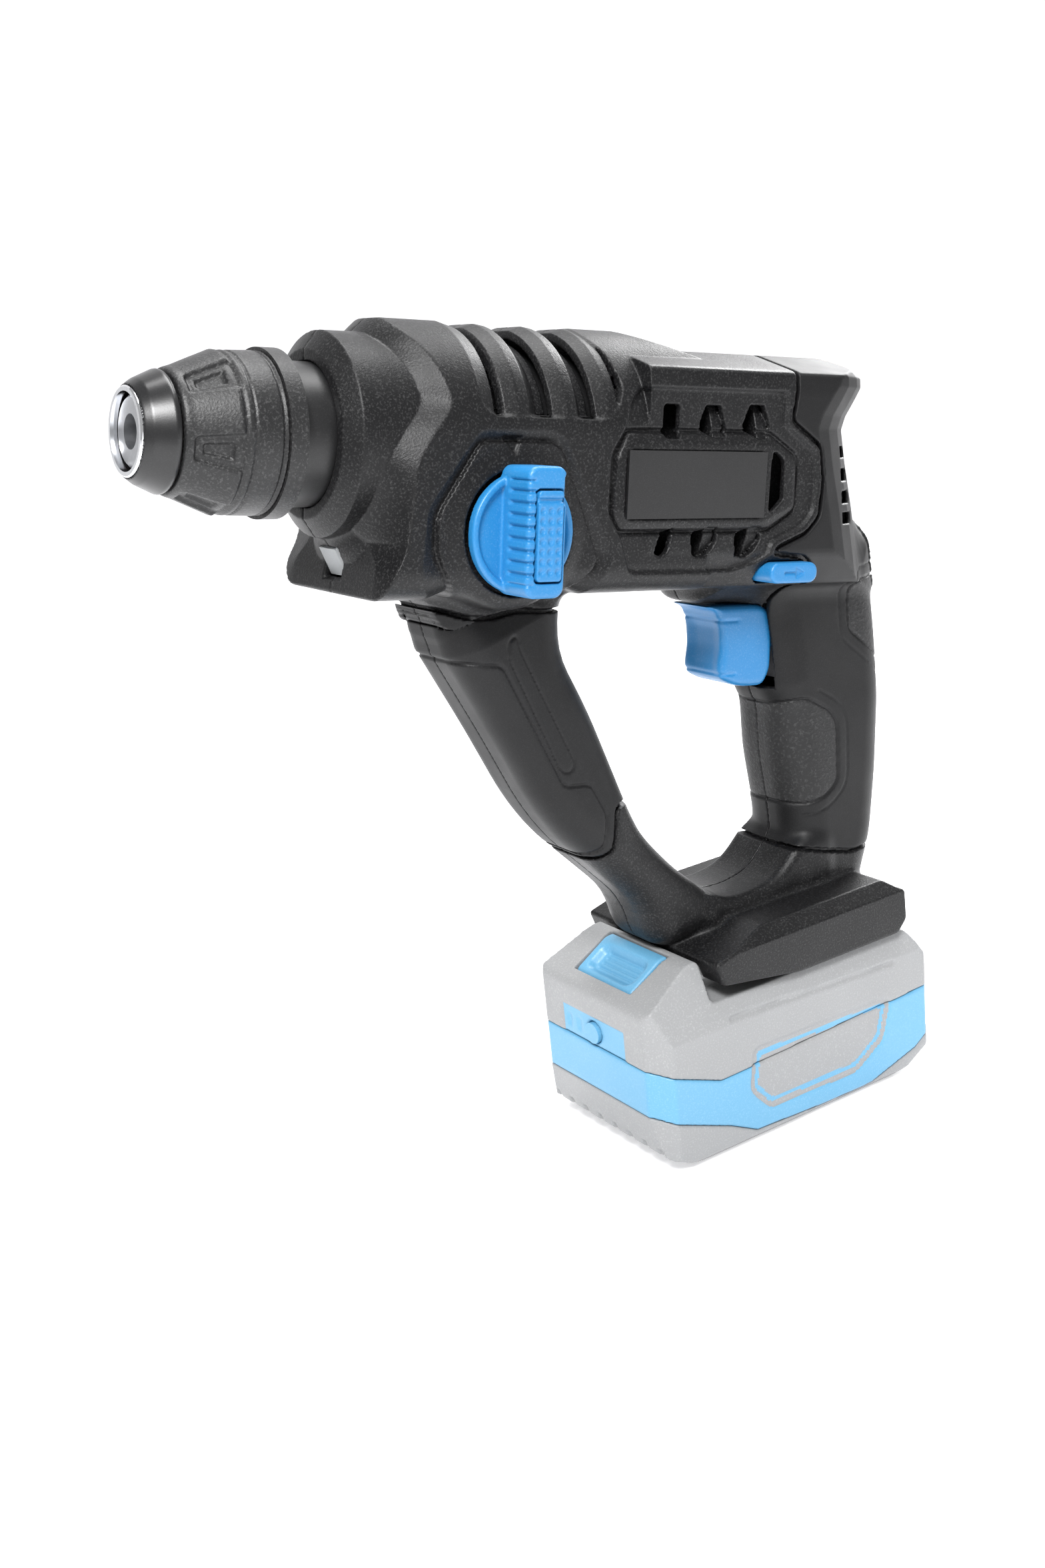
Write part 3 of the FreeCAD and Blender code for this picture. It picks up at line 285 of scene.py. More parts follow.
def new_material(name):
    """A new material, its node tree and its main shader."""
    material = bpy.data.materials.new(name)
    material.use_nodes = True
    tree = material.node_tree
    shader = tree.nodes["Principled BSDF"]
    return material, tree, shader


def noise_group():
    """Fine grain, soft blotches in the roughness and painted glints on the grain, shared by the moulded materials.
    """
    group = bpy.data.node_groups.new("moulded_surface", "ShaderNodeTree")
    # The third input sets how bright the painted glints added to the colour are.
    for name, amount in (("Grain", 1800.0), ("Depth", 0.5), ("Painted Glint", 0.02), ("Rough", 0.5)):
        socket = group.interface.new_socket(name, in_out="INPUT", socket_type="NodeSocketFloat")
        socket.default_value = amount
    colour = group.interface.new_socket("Colour", in_out="INPUT", socket_type="NodeSocketColor")
    colour.default_value = (0.03, 0.03, 0.03, 1)
    for name, kind in (("Colour", "Color"), ("Roughness", "Float"), ("Normal", "Vector")):
        group.interface.new_socket(name, in_out="OUTPUT", socket_type="NodeSocket" + kind)
    nodes, links = group.nodes, group.links
    inputs = nodes.new("NodeGroupInput")
    outputs = nodes.new("NodeGroupOutput")
    place = nodes.new("ShaderNodeTexCoord")
    grain = nodes.new("ShaderNodeTexNoise")
    grain.inputs["Detail"].default_value = 2.0
    grain.inputs["Roughness"].default_value = 0.6
    links.new(place.outputs["Object"], grain.inputs["Vector"])
    links.new(inputs.outputs["Grain"], grain.inputs["Scale"])
    blotch = nodes.new("ShaderNodeTexNoise")
    blotch.inputs["Scale"].default_value = 45.0
    blotch.inputs["Detail"].default_value = 4.0
    links.new(place.outputs["Object"], blotch.inputs["Vector"])
    # Painted glints: the grain's highest peaks are lightened in the base colour, as if they caught the light.
    painted_glint_mask = nodes.new("ShaderNodeMapRange")
    painted_glint_mask.inputs["From Min"].default_value = 0.52
    painted_glint_mask.inputs["From Max"].default_value = 0.72
    links.new(grain.outputs["Fac"], painted_glint_mask.inputs["Value"])
    painted_glint = nodes.new("ShaderNodeMath")
    painted_glint.operation = "MULTIPLY"
    links.new(painted_glint_mask.outputs["Result"], painted_glint.inputs[0])
    links.new(inputs.outputs["Painted Glint"], painted_glint.inputs[1])
    mix = nodes.new("ShaderNodeMix")
    mix.data_type = "RGBA"
    mix.blend_type = "ADD"
    mix.inputs["Factor"].default_value = 1.0
    links.new(inputs.outputs["Colour"], mix.inputs["A"])
    links.new(painted_glint.outputs["Value"], mix.inputs["B"])
    links.new(mix.outputs["Result"], outputs.inputs["Colour"])
    spread = nodes.new("ShaderNodeMapRange")
    spread.inputs["From Min"].default_value = 0.3
    spread.inputs["From Max"].default_value = 0.7
    spread.inputs["To Min"].default_value = -0.06
    spread.inputs["To Max"].default_value = 0.06
    links.new(blotch.outputs["Fac"], spread.inputs["Value"])
    total = nodes.new("ShaderNodeMath")
    total.operation = "ADD"
    total.use_clamp = True
    links.new(inputs.outputs["Rough"], total.inputs[0])
    links.new(spread.outputs["Result"], total.inputs[1])
    links.new(total.outputs["Value"], outputs.inputs["Roughness"])
    bump = nodes.new("ShaderNodeBump")
    bump.inputs["Distance"].default_value = 0.00012
    links.new(inputs.outputs["Depth"], bump.inputs["Strength"])
    links.new(grain.outputs["Fac"], bump.inputs["Height"])
    links.new(bump.outputs["Normal"], outputs.inputs["Normal"])
    return group


SURFACE = noise_group()


def moulded(name, colour, rough, grain=1800.0, depth=0.5, glint_paint=0.02, metal=0.0, ior=1.5, glow=0.0):
    """A material with the moulded surface: fine grain, small shifts in roughness, and painted glints as light
    flecks in its colour.
    """
    material, tree, shader = new_material(name)
    skin = tree.nodes.new("ShaderNodeGroup")
    skin.node_tree = SURFACE
    skin.inputs["Grain"].default_value = grain
    skin.inputs["Depth"].default_value = depth
    # The painted glint brightness, added to the colour on the grain's peaks.
    skin.inputs["Painted Glint"].default_value = glint_paint
    skin.inputs["Rough"].default_value = rough
    skin.inputs["Colour"].default_value = (*colour, 1)
    tree.links.new(skin.outputs["Colour"], shader.inputs["Base Color"])
    tree.links.new(skin.outputs["Roughness"], shader.inputs["Roughness"])
    tree.links.new(skin.outputs["Normal"], shader.inputs["Normal"])
    shader.inputs["Metallic"].default_value = metal
    shader.inputs["Emission Color"].default_value = (*colour, 1)
    shader.inputs["Emission Strength"].default_value = glow
    shader.inputs["IOR"].default_value = ior
    return material


def clear_lens(name):
    """The clear plastic over the light."""
    material, tree, shader = new_material(name)
    shader.inputs["Base Color"].default_value = (0.9, 0.93, 0.95, 1)
    shader.inputs["Transmission Weight"].default_value = 0.6
    shader.inputs["Roughness"].default_value = 0.12
    ripple = tree.nodes.new("ShaderNodeTexNoise")
    ripple.inputs["Scale"].default_value = 400.0
    bump = tree.nodes.new("ShaderNodeBump")
    bump.inputs["Distance"].default_value = 0.0001
    tree.links.new(ripple.outputs["Fac"], bump.inputs["Height"])
    tree.links.new(bump.outputs["Normal"], shader.inputs["Normal"])
    return material


# In each moulded look, the number after the bump depth is its painted glint brightness, added to the colour on the
# grain's peaks.
LOOKS = {
    "shell_black": moulded("shell_black", (0.0055, 0.0055, 0.006), 0.44, 1500, 0.9, 0.028, ior=1.33),
    "grip_rubber": moulded("grip_rubber", (0.0055, 0.0055, 0.006), 0.5, 2600, 0.3, 0.006, ior=1.33),
    "badge": moulded("badge", (0.008, 0.008, 0.0085), 0.42, 3000, 0.2, 0.01),
    "steel": moulded("steel", (0.55, 0.56, 0.58), 0.3, 900, 0.2, 0.05, metal=1.0),
    "bright_ring": moulded("bright_ring", (0.85, 0.86, 0.88), 0.14, 600, 0.06, 0.0, metal=1.0),
    "case_alloy": moulded("case_alloy", (0.6, 0.61, 0.62), 0.45, 800, 0.4, 0.03, metal=1.0),
    "neck_black": moulded("neck_black", (0.008, 0.008, 0.0085), 0.38, 2400, 0.15, 0.008),
    "bronze": moulded("bronze", (0.6, 0.42, 0.2), 0.4, 1200, 0.3, 0.02, metal=1.0),
    "copper": moulded("copper", (0.72, 0.35, 0.18), 0.3, 700, 0.5, 0.02, metal=1.0),
    "seal_rubber": moulded("seal_rubber", (0.007, 0.007, 0.0075), 0.33, 2400, 0.12, 0.006),
    "sleeve_black": moulded("sleeve_black", (0.011, 0.011, 0.0115), 0.44, 1300, 1.0, 0.035, ior=1.42),
    "board_green": moulded("board_green", (0.03, 0.16, 0.07), 0.35, 500, 0.2, 0.02),
    "moulding_black": moulded("moulding_black", (0.05, 0.05, 0.055), 0.5, 1500, 0.3, 0.02),
    "control_blue": moulded("control_blue", (0.015, 0.17, 0.4), 0.4, 1700, 0.4, 0.03),
    "lens_clear": clear_lens("lens_clear"),
    "pack_grey": moulded("pack_grey", (0.26, 0.264, 0.268), 0.5, 1500, 0.6, 0.06),
    "pack_blue": moulded("pack_blue", (0.11, 0.32, 0.5), 0.42, 1700, 0.35, 0.04),
    "cell_can": moulded("cell_can", (0.12, 0.32, 0.2), 0.35, 700, 0.1, 0.01),
}
TEXTURED = moulded("grip_texture", (0.010, 0.010, 0.0105), 0.54, 900, 2.0, 0.02, ior=1.4)

slot_of = {part["node"]: part["material_slot"] for part in frame["record"]["subparts"]}
for name, cad_piece in frame["nodes"].items():
    cad_piece.data.materials.clear()
    cad_piece.data.materials.append(LOOKS[slot_of[name]])


# ---- the frame's outlines in the barrel frame, as (along, up)

BODY_HALF = 35.6
BODY_LOW = 47.8
BODY_TOP = 35.0
ROOF_START = 165.4
FRONT_PART_END = 190
REAR_PART_START = 160
COLLAR_RADIUS = 30.8
COLLAR_LIP = 25.0
COLLAR_FRONT = 56.6
COLLAR_REAR = 92
COLLAR_STEP = 9.5
WALL = 2.6
RUBBER = 1.9
SEAM = 0.12
KNOB_X, KNOB_Z = 111.7, -27.5
MOTOR_DROP = 11.2
BOSS_RADIUS, BOSS_HALF = 24.5, 36.4
BRACE_HALF = 19
GRIP_HALF = 18
FOOT_HALF = 38
NECK_BORE = 21.7
NECK_BORE_END = 82
WELL_RADIUS, WELL_FLOOR = 19.4, 33.4
SHAFT_HOLE = 6.9
LINER_RADIUS, LINER_MIDDLE, LINER_REACH = 28.6, 190, 27
SCREW_POST, SCREW_HOLE, SCREW_DEPTH = 5.2, 3.7, 10
SOFT_SETBACK = 0.7
WAVE = curve([
    (64, -55), (68.1, -42.2), (72.4, -33), (74.9, -19.5), (76.4, -8), (81.8, 1.6), (87.8, 9.3),
    (87.8, 15),
    (84.6, 24.3), (79.9, 31.5), (76, 40)])
REAR_EDGE = [
    (290, -60), (286, -47.4), (279.4, -22.4), (274.2, -5.4), (271.5, 5.4), (273, 10), (277, 16),
    (279.4, 20),
    (279, 23), (275, 26), (262, 29), (250, 31)]
REAR_SECTION = [
    (-5, 29.8), (13, 29.6), (31, 24.8), (35.0, 23.6), (35.8, 17.5), (35.8, -36), (27, -47.6),
    (-5, -47.6)]
CHIN = [(64.4, -20), (64.4, -31.8), (70.8, -43.9), (77.9, -47.8), (96, -47.8), (96, -20)]
GRIP = [
    (203.4, -40), (203.4, -53.7), (207.7, -55.5), (226, -55.5), (233, -58.5), (239, -79.7),
    (240, -88.1),
    (244, -93.8), (246.9, -112.8), (254.7, -138.7), (255, -145.7), (250, -156), (250, -168),
    (292, -178),
    (294.7, -160.6), (298, -146), (298, -120.5), (296.2, -91.3), (291.9, -67.8), (283, -30), (240, -30)]
BRACE = [
    (93.9, -36), (93.9, -56), (122.2, -95.9), (139.1, -121.4), (150.7, -134.3), (185, -161),
    (193, -180),
    (228, -174), (214.6, -158.4), (201.4, -149.7), (185.2, -135.4), (178.5, -125), (159.2, -88.8),
    (145.3, -67.3), (145.3, -36)]
FOOT_SIDE = [(-5.2, 14.9), (20, 21.3), (79.8, 21.3), (84.7, 17.5), (87.3, 16.5), (87.7, 4.7), (83.2, 0),
    (0, 0)]
SADDLE = [(4, 15), (12, 31.5), (20, 27), (30, 26.2), (40, 27.6), (47, 31.5), (56, 40), (70, 40),
    (70, 15)]
SCREWS = [(171, 25), (243, 20), (266, -38), (264, -112), (284, -140), (112, -60), (150, -112),
    (197, -151)]
GRIP_RUBBER = [
    (222, 60), (221.9, 17), (220.6, 7.9), (234.1, -0.2), (236.1, -11.3), (235.4, -23.6), (229.9, -29.2),
    (217.3, -33.9), (216.8, -35.7), (230.6, -37.3), (236, -40.5), (240, -46), (235.7, -49),
    (233.8, -53.7),
    (237.1, -65.6), (239.6, -75.3), (236.8, -80), (231, -87), (225, -146), (256, -147.2), (280, -150.6),
    (291, -149.4), (320, -147), (320, 60)]
BRACE_RUBBER = [
    (70, -53.3), (89.3, -53.1), (95.2, -52.3), (105.1, -55), (113.8, -55.8), (125.2, -53.5),
    (134.8, -54),
    (155, -54), (200, -121.8), (170, -121.8), (167.5, -123.4), (167.5, -137.6), (164, -140.7),
    (151.4, -142.1),
    (140, -152), (60, -100)]


def barrel_section(y, z):
    """Across the barrel: round above its axis, a rounded box below."""
    return np.where(z > 0, np.hypot(y, z) - BODY_HALF, pillow(y - BODY_HALF, -z - BODY_LOW, 10))


def collar(x, y, z):
    """The front ring: a cylinder with a broad chamfer round its mouth."""
    radius = np.hypot(y, z)
    ring = pillow(radius - COLLAR_RADIUS, COLLAR_FRONT - x, 1.0)
    chamfer = (radius - COLLAR_LIP - 1.35 * (x - COLLAR_FRONT)) * 0.6
    return np.maximum(np.maximum(ring, x - COLLAR_REAR), chamfer)


def barrel_body(x, y, z):
    """The main body: round on top, square-sided below.

    Its front edge is a wave that steps up from the collar.
    """
    heights, places = [p[1] for p in WAVE], [p[0] for p in WAVE]
    wave = np.interp(z, heights, places).astype(np.float32)
    collar_half = np.sqrt(np.maximum(COLLAR_RADIUS ** 2 - np.minimum(z, 0) ** 2, 0))
    steep = 0.6 * (BODY_HALF - collar_half) / (BODY_HALF - COLLAR_RADIUS)
    section = barrel_section(y, z)
    front = np.maximum(section, (section + steep * (wave - x)) / np.hypot(1, steep))
    roof = np.maximum(z - BODY_TOP, 0.303 * (x - ROOF_START) + 0.953 * (z - BODY_TOP))
    front = np.maximum(front, roof)
    front = np.maximum(front, np.maximum(x - FRONT_PART_END, wave - COLLAR_STEP - x))
    edge = np.interp(z, [p[1] for p in REAR_EDGE], [p[0] for p in REAR_EDGE]).astype(np.float32)
    ahead = edge - x
    half = np.interp(ahead, [-10, 1, 4, 10, 17.5, 25, 33, 42], [-40, 4, 9, 16, 23.5, 29.5, 33.8, 36.5])
    share = np.interp(ahead, [1, 2, 4, 10, 17.5], [0.25, 0.5, 0.62, 0.7, 0.8])
    rounding = ((y - half) * share).astype(np.float32)
    rear = np.maximum(outline(y, z, rounded(REAR_SECTION, 1.5, 2)), rounding)
    rear = np.maximum(rear, REAR_PART_START - x)
    return np.minimum(front, rear)


def foot_block(u, v, y):
    """The foot that the battery slides into, its shoulders sloped."""
    side = outline(u, v, rounded(FOOT_SIDE, 1.2, 2))
    block = pillow(side, y - FOOT_HALF, 1.2)
    return np.maximum(block, (y - FOOT_HALF + (v - 16.6) * 1.1) * 0.67)


def skin(x, y, z):
    """The frame's whole outer surface on one side, without seams or openings."""
    u, v = foot_axes(x, z)
    chin_half = np.interp(x, [62, 64.4, 67, 72, 80, 92], [4, 9, 15, 21, 28, 34]).astype(np.float32)
    chin = pillow(outline(x, z, rounded(CHIN, 4)), (y - chin_half) * 0.7, 6)
    field = np.minimum(barrel_body(x, y, z), blended(collar(x, y, z), chin, 3))
    boss = pillow(np.hypot(x - KNOB_X, z - KNOB_Z) - BOSS_RADIUS, y - BOSS_HALF, 6)
    field = blended(field, boss, 4)
    brace = pillow(outline(x, z, rounded(BRACE, 9)), y - BRACE_HALF, 12)
    field = blended(field, brace, 7)
    grip = pillow(outline(x, z, rounded(GRIP, 6)), y - GRIP_HALF, 14)
    field = blended(field, grip, 8)
    saddle = pillow(outline(u, v, rounded(SADDLE, 6)), y - GRIP_HALF, 4)
    field = blended(field, saddle, 4)
    return blended(field, foot_block(u, v, y), 2.5)


# ---- what is pressed into the sides

FIELD = [
    (160.5, 17.1), (155.5, 13.1), (152.1, 4.9), (146.6, -3.3), (146.1, -21.8), (151.5, -29.7),
    (154.8, -39.6),
    (156.7, -40.8), (200.8, -41.4), (209.4, -38.7), (213.6, -36), (214.5, -32), (228, -27),
    (232.5, -22),
    (233.3, -11.5), (231.6, -2), (218.2, 6.2), (218.5, 17.1)]
HEX = [
    (152.7, 3.7), (211.5, 4.1), (224.6, -3.5), (224.8, -21.1), (213.5, -28.1), (150.7, -28),
    (147.5, -22.7),
    (148.2, -4.3)]
RIDGE = [
    (154.8, -0.1), (211.5, 0), (221.8, -5.7), (222.5, -20), (209.4, -25.4), (153.7, -25), (150.4, -21),
    (151, -4)]
LABEL = [(152.5, -2.4), (209.6, -2.4), (209.6, -23.6), (152.5, -23.6)]
SIDE_SLOT = [(212.4, -2.6), (214.1, -1.9), (218.1, -4.7), (218.5, -17.8), (213.5, -22.2),
    (211.9, -21.1)]
VENTS = [
    [(167, 1.5), (167, 12.4), (173.6, 12.4), (173.6, 1.2)],
    [(184.1, 12.4), (190.5, 12.5), (193, 5.6), (192.5, 1.4), (187.1, 1.7), (181.3, 5.4)],
    [(202.7, 12.8), (209, 13), (212, 6), (210.9, 1.6), (205.6, 2), (199.5, 5.7)],
    [(167.8, -28.6), (173.1, -26.3), (171.9, -33.8), (169.6, -36.1), (165.5, -35.2)],
    [(187, -26.5), (191.6, -26.5), (191.9, -31.3), (187.8, -36.7), (181.6, -36.1), (180.5, -29.2)],
    [(205.4, -26.7), (210.4, -26.7), (210.8, -31.6), (206.3, -37.1), (200.1, -36.5), (199, -29.5)]]
FIN_WIDTH = 4.6
RIB_ZONE = [
    (80, 60), (86.8, 33.3), (92.7, 26.6), (97.2, 15.3), (99.1, 9.6), (103.4, 7.4), (144.8, 7.1),
    (148.5, 9.8),
    (152, 17), (150.1, 27), (147, 33), (147, 60)]
RIB_PLACES = (103.6, 121.3, 137.4)
RIB_GAP = 3.1
RIB_DEPTH = 5.6
FIELD_DEPTH = 1.6
PLATE_SLOPE, PLATE_RUN = 1.5, 3.6
HEX_GROOVE = 1.3
LABEL_DEPTH = 0.8
SHIELD_STEP, SHIELD_SLOPE = 0.5, 2.4
POINTER_DEPTH = 1.2
SHIELD = [
    (98.6, -0.6), (123.9, -0.2), (127.7, -2.6), (142.6, -35.3), (141.8, -38.4), (138.6, -42.1),
    (133.5, -46),
    (100, -60), (84, -34), (84, -22)]
SHIELD_BAND = [
    (97.5, 2.8), (122, 3.2), (128.6, 1.4), (148.1, -35.5), (144.6, -43.5), (137, -54), (100, -70),
    (78, -40),
    (80, -20)]
POINTER = [(106.1, 1.1), (112.8, 1.2), (110.1, -4.4)]
REAR_VENTS = (-1, -8.6, -16.2, -23.2)
BRACE_PANEL = [
    (84, -70.5), (105, -69.9), (118.9, -71), (145.2, -112.8), (156.2, -113.3), (163.5, -124.2),
    (163.7, -136.7),
    (159.6, -139.3), (146, -140.1)]
BRACE_PILL = [
    (123.7, -61.1), (125.2, -65.9), (149, -105), (147.5, -108.7), (143.4, -107.4), (121.5, -69.3),
    (120.7, -63.5)]
GRIP_PANEL = [
    (224, -92.8), (236.3, -95), (243.7, -92.7), (252.5, -89.8), (265.3, -95.6), (268.8, -100.6),
    (271.4, -122.3),
    (266.8, -127), (258.8, -130.8), (247.2, -131.2), (224, -126.9)]
THUMB_PAD = [(300, -45), (269.2, -47), (268.2, -50.4), (270.8, -65.6), (283.5, -73.6), (300, -83)]


def rib_depth(x):
    """How far the surface lies below the body along the ribbed zone.

    Between the deep gaps, each rib rises to a crest.
    """
    places, depths = [98, 103.5], [0, 1.4]
    for place in RIB_PLACES:
        places += [place, place + RIB_GAP, place + RIB_GAP + 0.1, place + RIB_GAP + 5, place + 12]
        depths += [RIB_DEPTH, RIB_DEPTH, 1.8, 0.2, 0.7]
    places += [145.7, 145.8, 153]
    depths += [1.0, RIB_DEPTH, RIB_DEPTH]
    return np.interp(x, places, depths).astype(np.float32)


def side_relief(x, z):
    """Everything moulded into the side of the body, as a depth below its skin."""
    depth = FIELD_DEPTH * fade(outline(x, z, rounded(FIELD, 2)), 1.6)
    ring = outline(x, z, rounded(HEX, 2))
    ridge = outline(x, z, rounded(RIDGE, 2))
    plate = PLATE_SLOPE * np.clip(ridge / PLATE_RUN, 0, 1)
    depth = np.where(ring < 0, plate, depth)
    depth = depth + groove(np.abs(ring), HEX_GROOVE, HEX_GROOVE)
    depth = depth + LABEL_DEPTH * fade(outline(x, z, rounded(LABEL, 3)), 0.7)
    zone = fade(outline(x, z, rounded(RIB_ZONE, 2)), 1.2)
    depth = depth + rib_depth(x) * zone
    shield = outline(x, z, rounded(SHIELD, 3))
    band = outline(x, z, rounded(SHIELD_BAND, 3))
    slope = SHIELD_SLOPE * np.clip(-band / (shield - band + 1e-3), 0, 1)
    depth = depth + np.where(shield < 0, SHIELD_STEP, np.where(band < 0, slope, 0))
    return depth + POINTER_DEPTH * fade(outline(x, z, POINTER), 0.6)


def soft_relief(x, z):
    """Panel lines in the overmoulded grip and brace."""
    panel = outline(x, z, rounded(GRIP_PANEL, 3))
    depth = groove(np.abs(panel), 0.9, 0.6) + 0.25 * fade(panel, 0.6)
    depth = depth + groove(np.abs(panel - 4.6), 0.7, 0.35) * (x > 258)
    pad = outline(x, z, rounded(THUMB_PAD, 3))
    depth = depth + groove(np.abs(pad), 0.9, 0.6) + groove(np.abs(pad - 4.4), 0.7, 0.35)
    depth = depth + groove(trace(x, z, rounded(BRACE_PANEL, 2)[5:-5]), 1.0, 0.7)
    return depth + groove(np.abs(outline(x, z, rounded(BRACE_PILL, 2))), 0.8, 0.45)


def drilled(field, tool):
    """The field with the tool's shape taken out."""
    return np.maximum(field, -tool)


VENT_BACK, WINDOW_BACK = 20, 10
REAR_VENT_X, REAR_VENT_HALF = 253.6, (4.6, 2.1)
WINDOW_HALF = (11.1, 4.1)
TRIGGER_SLOT, TRIGGER_SLOT_HALF, TRIGGER_SLOT_SIDE = (227, -71.3), (21, 15.6), 11.5


def side_cuts(x, y, z):
    """Vents, the slot beside the label, the switch window and the trigger's slot, as one tool."""
    holes = None
    for points in VENTS:
        hole = outline(x, z, rounded(points, 1.2, 2))
        holes = hole if holes is None else np.minimum(holes, hole)
    holes = np.minimum(holes, outline(x, z, rounded(SIDE_SLOT, 1, 2)))
    tool = np.maximum(holes, VENT_BACK - y)
    rear = None
    for place in REAR_VENTS:
        hole = box2(x - REAR_VENT_X, z - place + 1.2, *REAR_VENT_HALF, 0.7)
        rear = hole if rear is None else np.minimum(rear, hole)
    tool = np.minimum(tool, np.maximum(rear, WINDOW_BACK - y))
    bar = middle_of("direction_switch")
    window = box2(x - bar[0], z - bar[1], *WINDOW_HALF, 3.6)
    tool = np.minimum(tool, np.maximum(window, WINDOW_BACK - y))
    slot = box2(x - TRIGGER_SLOT[0], z - TRIGGER_SLOT[1], *TRIGGER_SLOT_HALF, 1)
    slot = np.maximum(slot, y - TRIGGER_SLOT_SIDE)
    return np.minimum(tool, slot)


def vent_fins(x, y, z):
    """The curved blade inside each slanted vent."""
    fins = None
    for points in VENTS[1:3] + VENTS[4:]:
        hole = outline(x, z, points)
        right = max(p[0] for p in points)
        blade = np.maximum(hole - 0.4, np.abs(x - right + FIN_WIDTH / 2 + 0.6) - FIN_WIDTH / 2)
        fins = blade if fins is None else np.minimum(fins, blade)
    bulge = np.hypot(y - 22, (z + 12) * 0.42) - 13.0
    return np.maximum(np.maximum(fins, bulge), 24 - y)


def middle_of(node):
    """A node's middle in the barrel frame, as (along, up)."""
    place = BARREL.inverted() @ middle(node) / MM
    return place.x, place.z


def posts(x, z):
    """Distance to the nearest screw's middle."""
    tool = None
    for px, pz in SCREWS:
        post = np.hypot(x - px, z - pz)
        tool = post if tool is None else np.minimum(tool, post)
    return tool


LENS_X, LENS_Z = 67.2, -38.2
LENS_LEAN = math.radians(62.1)
LENS_HALF = (4.9, 5, 5.5)


def lens_window(x, y, z):
    """The leaning slot in the chin that holds the light's lens."""
    a, b = x - LENS_X, z - LENS_Z
    length = a * math.cos(LENS_LEAN) - b * math.sin(LENS_LEAN)
    depth = a * math.sin(LENS_LEAN) + b * math.cos(LENS_LEAN)
    leaning = np.maximum(np.abs(length) - LENS_HALF[0], np.abs(depth) - LENS_HALF[1])
    return np.maximum(leaning, y - LENS_HALF[2])


CHANNEL_HALF, CHANNEL_TOP, CHANNEL_REAR = 26, 11, 65.4
RAIL_HALF, RAIL_TOP, RAIL_FRONT = 22.6, 4, 1.5
SEAT_HALF, SEAT_TOP, SEAT_MIDDLE, SEAT_REACH = 21, 14, 74, 10.4


def battery_slot(u, v, y):
    """The foot's channel and terminal seat, less the rails that hold the pack."""
    channel = np.maximum(np.maximum(y - CHANNEL_HALF, v - CHANNEL_TOP), u - CHANNEL_REAR)
    rail = np.maximum(np.maximum(RAIL_HALF - y, v - RAIL_TOP), RAIL_FRONT - u)
    seat = np.maximum(np.maximum(y - SEAT_HALF, v - SEAT_TOP), np.abs(u - SEAT_MIDDLE) - SEAT_REACH)
    return drilled(np.minimum(channel, seat), rail)


def knob_well(shell, skin_field, x, y, z):
    """The left shell's round well with its floor, and the hole for the knob's shaft."""
    around = np.hypot(x - KNOB_X, z - KNOB_Z)
    well = np.maximum(around - WELL_RADIUS, WELL_FLOOR - y)
    floor = np.maximum(around - 21.5, np.abs(y - 32.2) - 1.2)
    floor = np.maximum(floor, skin_field)
    return np.maximum(np.minimum(drilled(shell, well), floor), -(around - SHAFT_HOLE))


def housing():
    """Both shells and their soft skins, worked out once for one side and mirrored."""
    grid = Grid((54, -1, -187), (302, 41, 38), 0.58)
    x, y, z = grid.x, grid.y, grid.z
    u, v = foot_axes(x, z)
    relief = side_relief(x, z).astype(np.float32)
    soft = soft_relief(x, z).astype(np.float32)
    skin_field = grid.whole(skin(x, y, z)) + relief + soft
    grip_zone = outline(x, z, rounded(GRIP_RUBBER, 2)).astype(np.float32)
    brace_zone = outline(x, z, rounded(BRACE_RUBBER, 2)).astype(np.float32)
    soft_zone = np.minimum(grip_zone, brace_zone)
    cuts = grid.whole(side_cuts(x, y, z))
    core = skin_field + RUBBER * fade(soft_zone - SOFT_SETBACK, 0.5).astype(np.float32)
    hollow = np.maximum(core + WALL, 25 - v)
    shell = drilled(core, hollow)
    shell = np.where(cuts < 0, np.maximum(shell, -cuts), shell)
    fins = np.maximum(vent_fins(x, y, z), core + 0.6)
    shell = np.minimum(shell, fins)
    liner = np.abs(np.hypot(y, z + MOTOR_DROP) - LINER_RADIUS) - 0.7
    liner = np.maximum(np.maximum(liner, core), np.abs(x - LINER_MIDDLE) - LINER_REACH)
    shell = np.minimum(shell, liner)
    shell = drilled(shell, np.maximum(np.hypot(y, z) - NECK_BORE, x - NECK_BORE_END))
    shell = drilled(shell, battery_slot(u, v, y))
    shell = drilled(shell, lens_window(x, y, z))
    shell = np.maximum(shell, SEAM - y)
    left = knob_well(shell, skin_field, x, y, z)
    black = LOOKS["shell_black"]
    sculpted("housing_shell_left", grid, left, BARREL, "housing", black,
        ["housing_left"], True)
    post = posts(x, z)
    rib = np.maximum(box2(x - 251, z + 12, 9, 17, 1), np.abs(y - 1.2) - 0.8)
    shell = np.minimum(shell, rib)
    right = np.minimum(shell, np.maximum(np.maximum(post - SCREW_POST, core), SEAM - y))
    screw_hole = np.maximum(post - SCREW_HOLE, SCREW_DEPTH - y)
    right = drilled(right, screw_hole)
    sculpted("housing_shell_right", grid, right, BARREL, "housing", black,
        ["housing_right"])
    rubber = LOOKS["grip_rubber"]
    layer = np.maximum(np.maximum(skin_field, -(skin_field + RUBBER - 0.1)), SEAM - y)
    layer = np.where(cuts < 0, np.maximum(layer, -cuts), layer)
    for name, zone in (("grip", grip_zone), ("brace", brace_zone)):
        skin_piece = np.maximum(layer, zone + SOFT_SETBACK)
        for hand, mirror in (("left", True), ("right", False)):
            field = skin_piece if mirror else drilled(skin_piece, screw_hole)
            node = "%s_rubber_%s" % (name, hand)
            piece = sculpted(
                "%s_skin_%s" % (name, hand), grid, field, BARREL, "housing", rubber,
                [node], mirror)
            if name == "grip":
                texture_patches(piece)


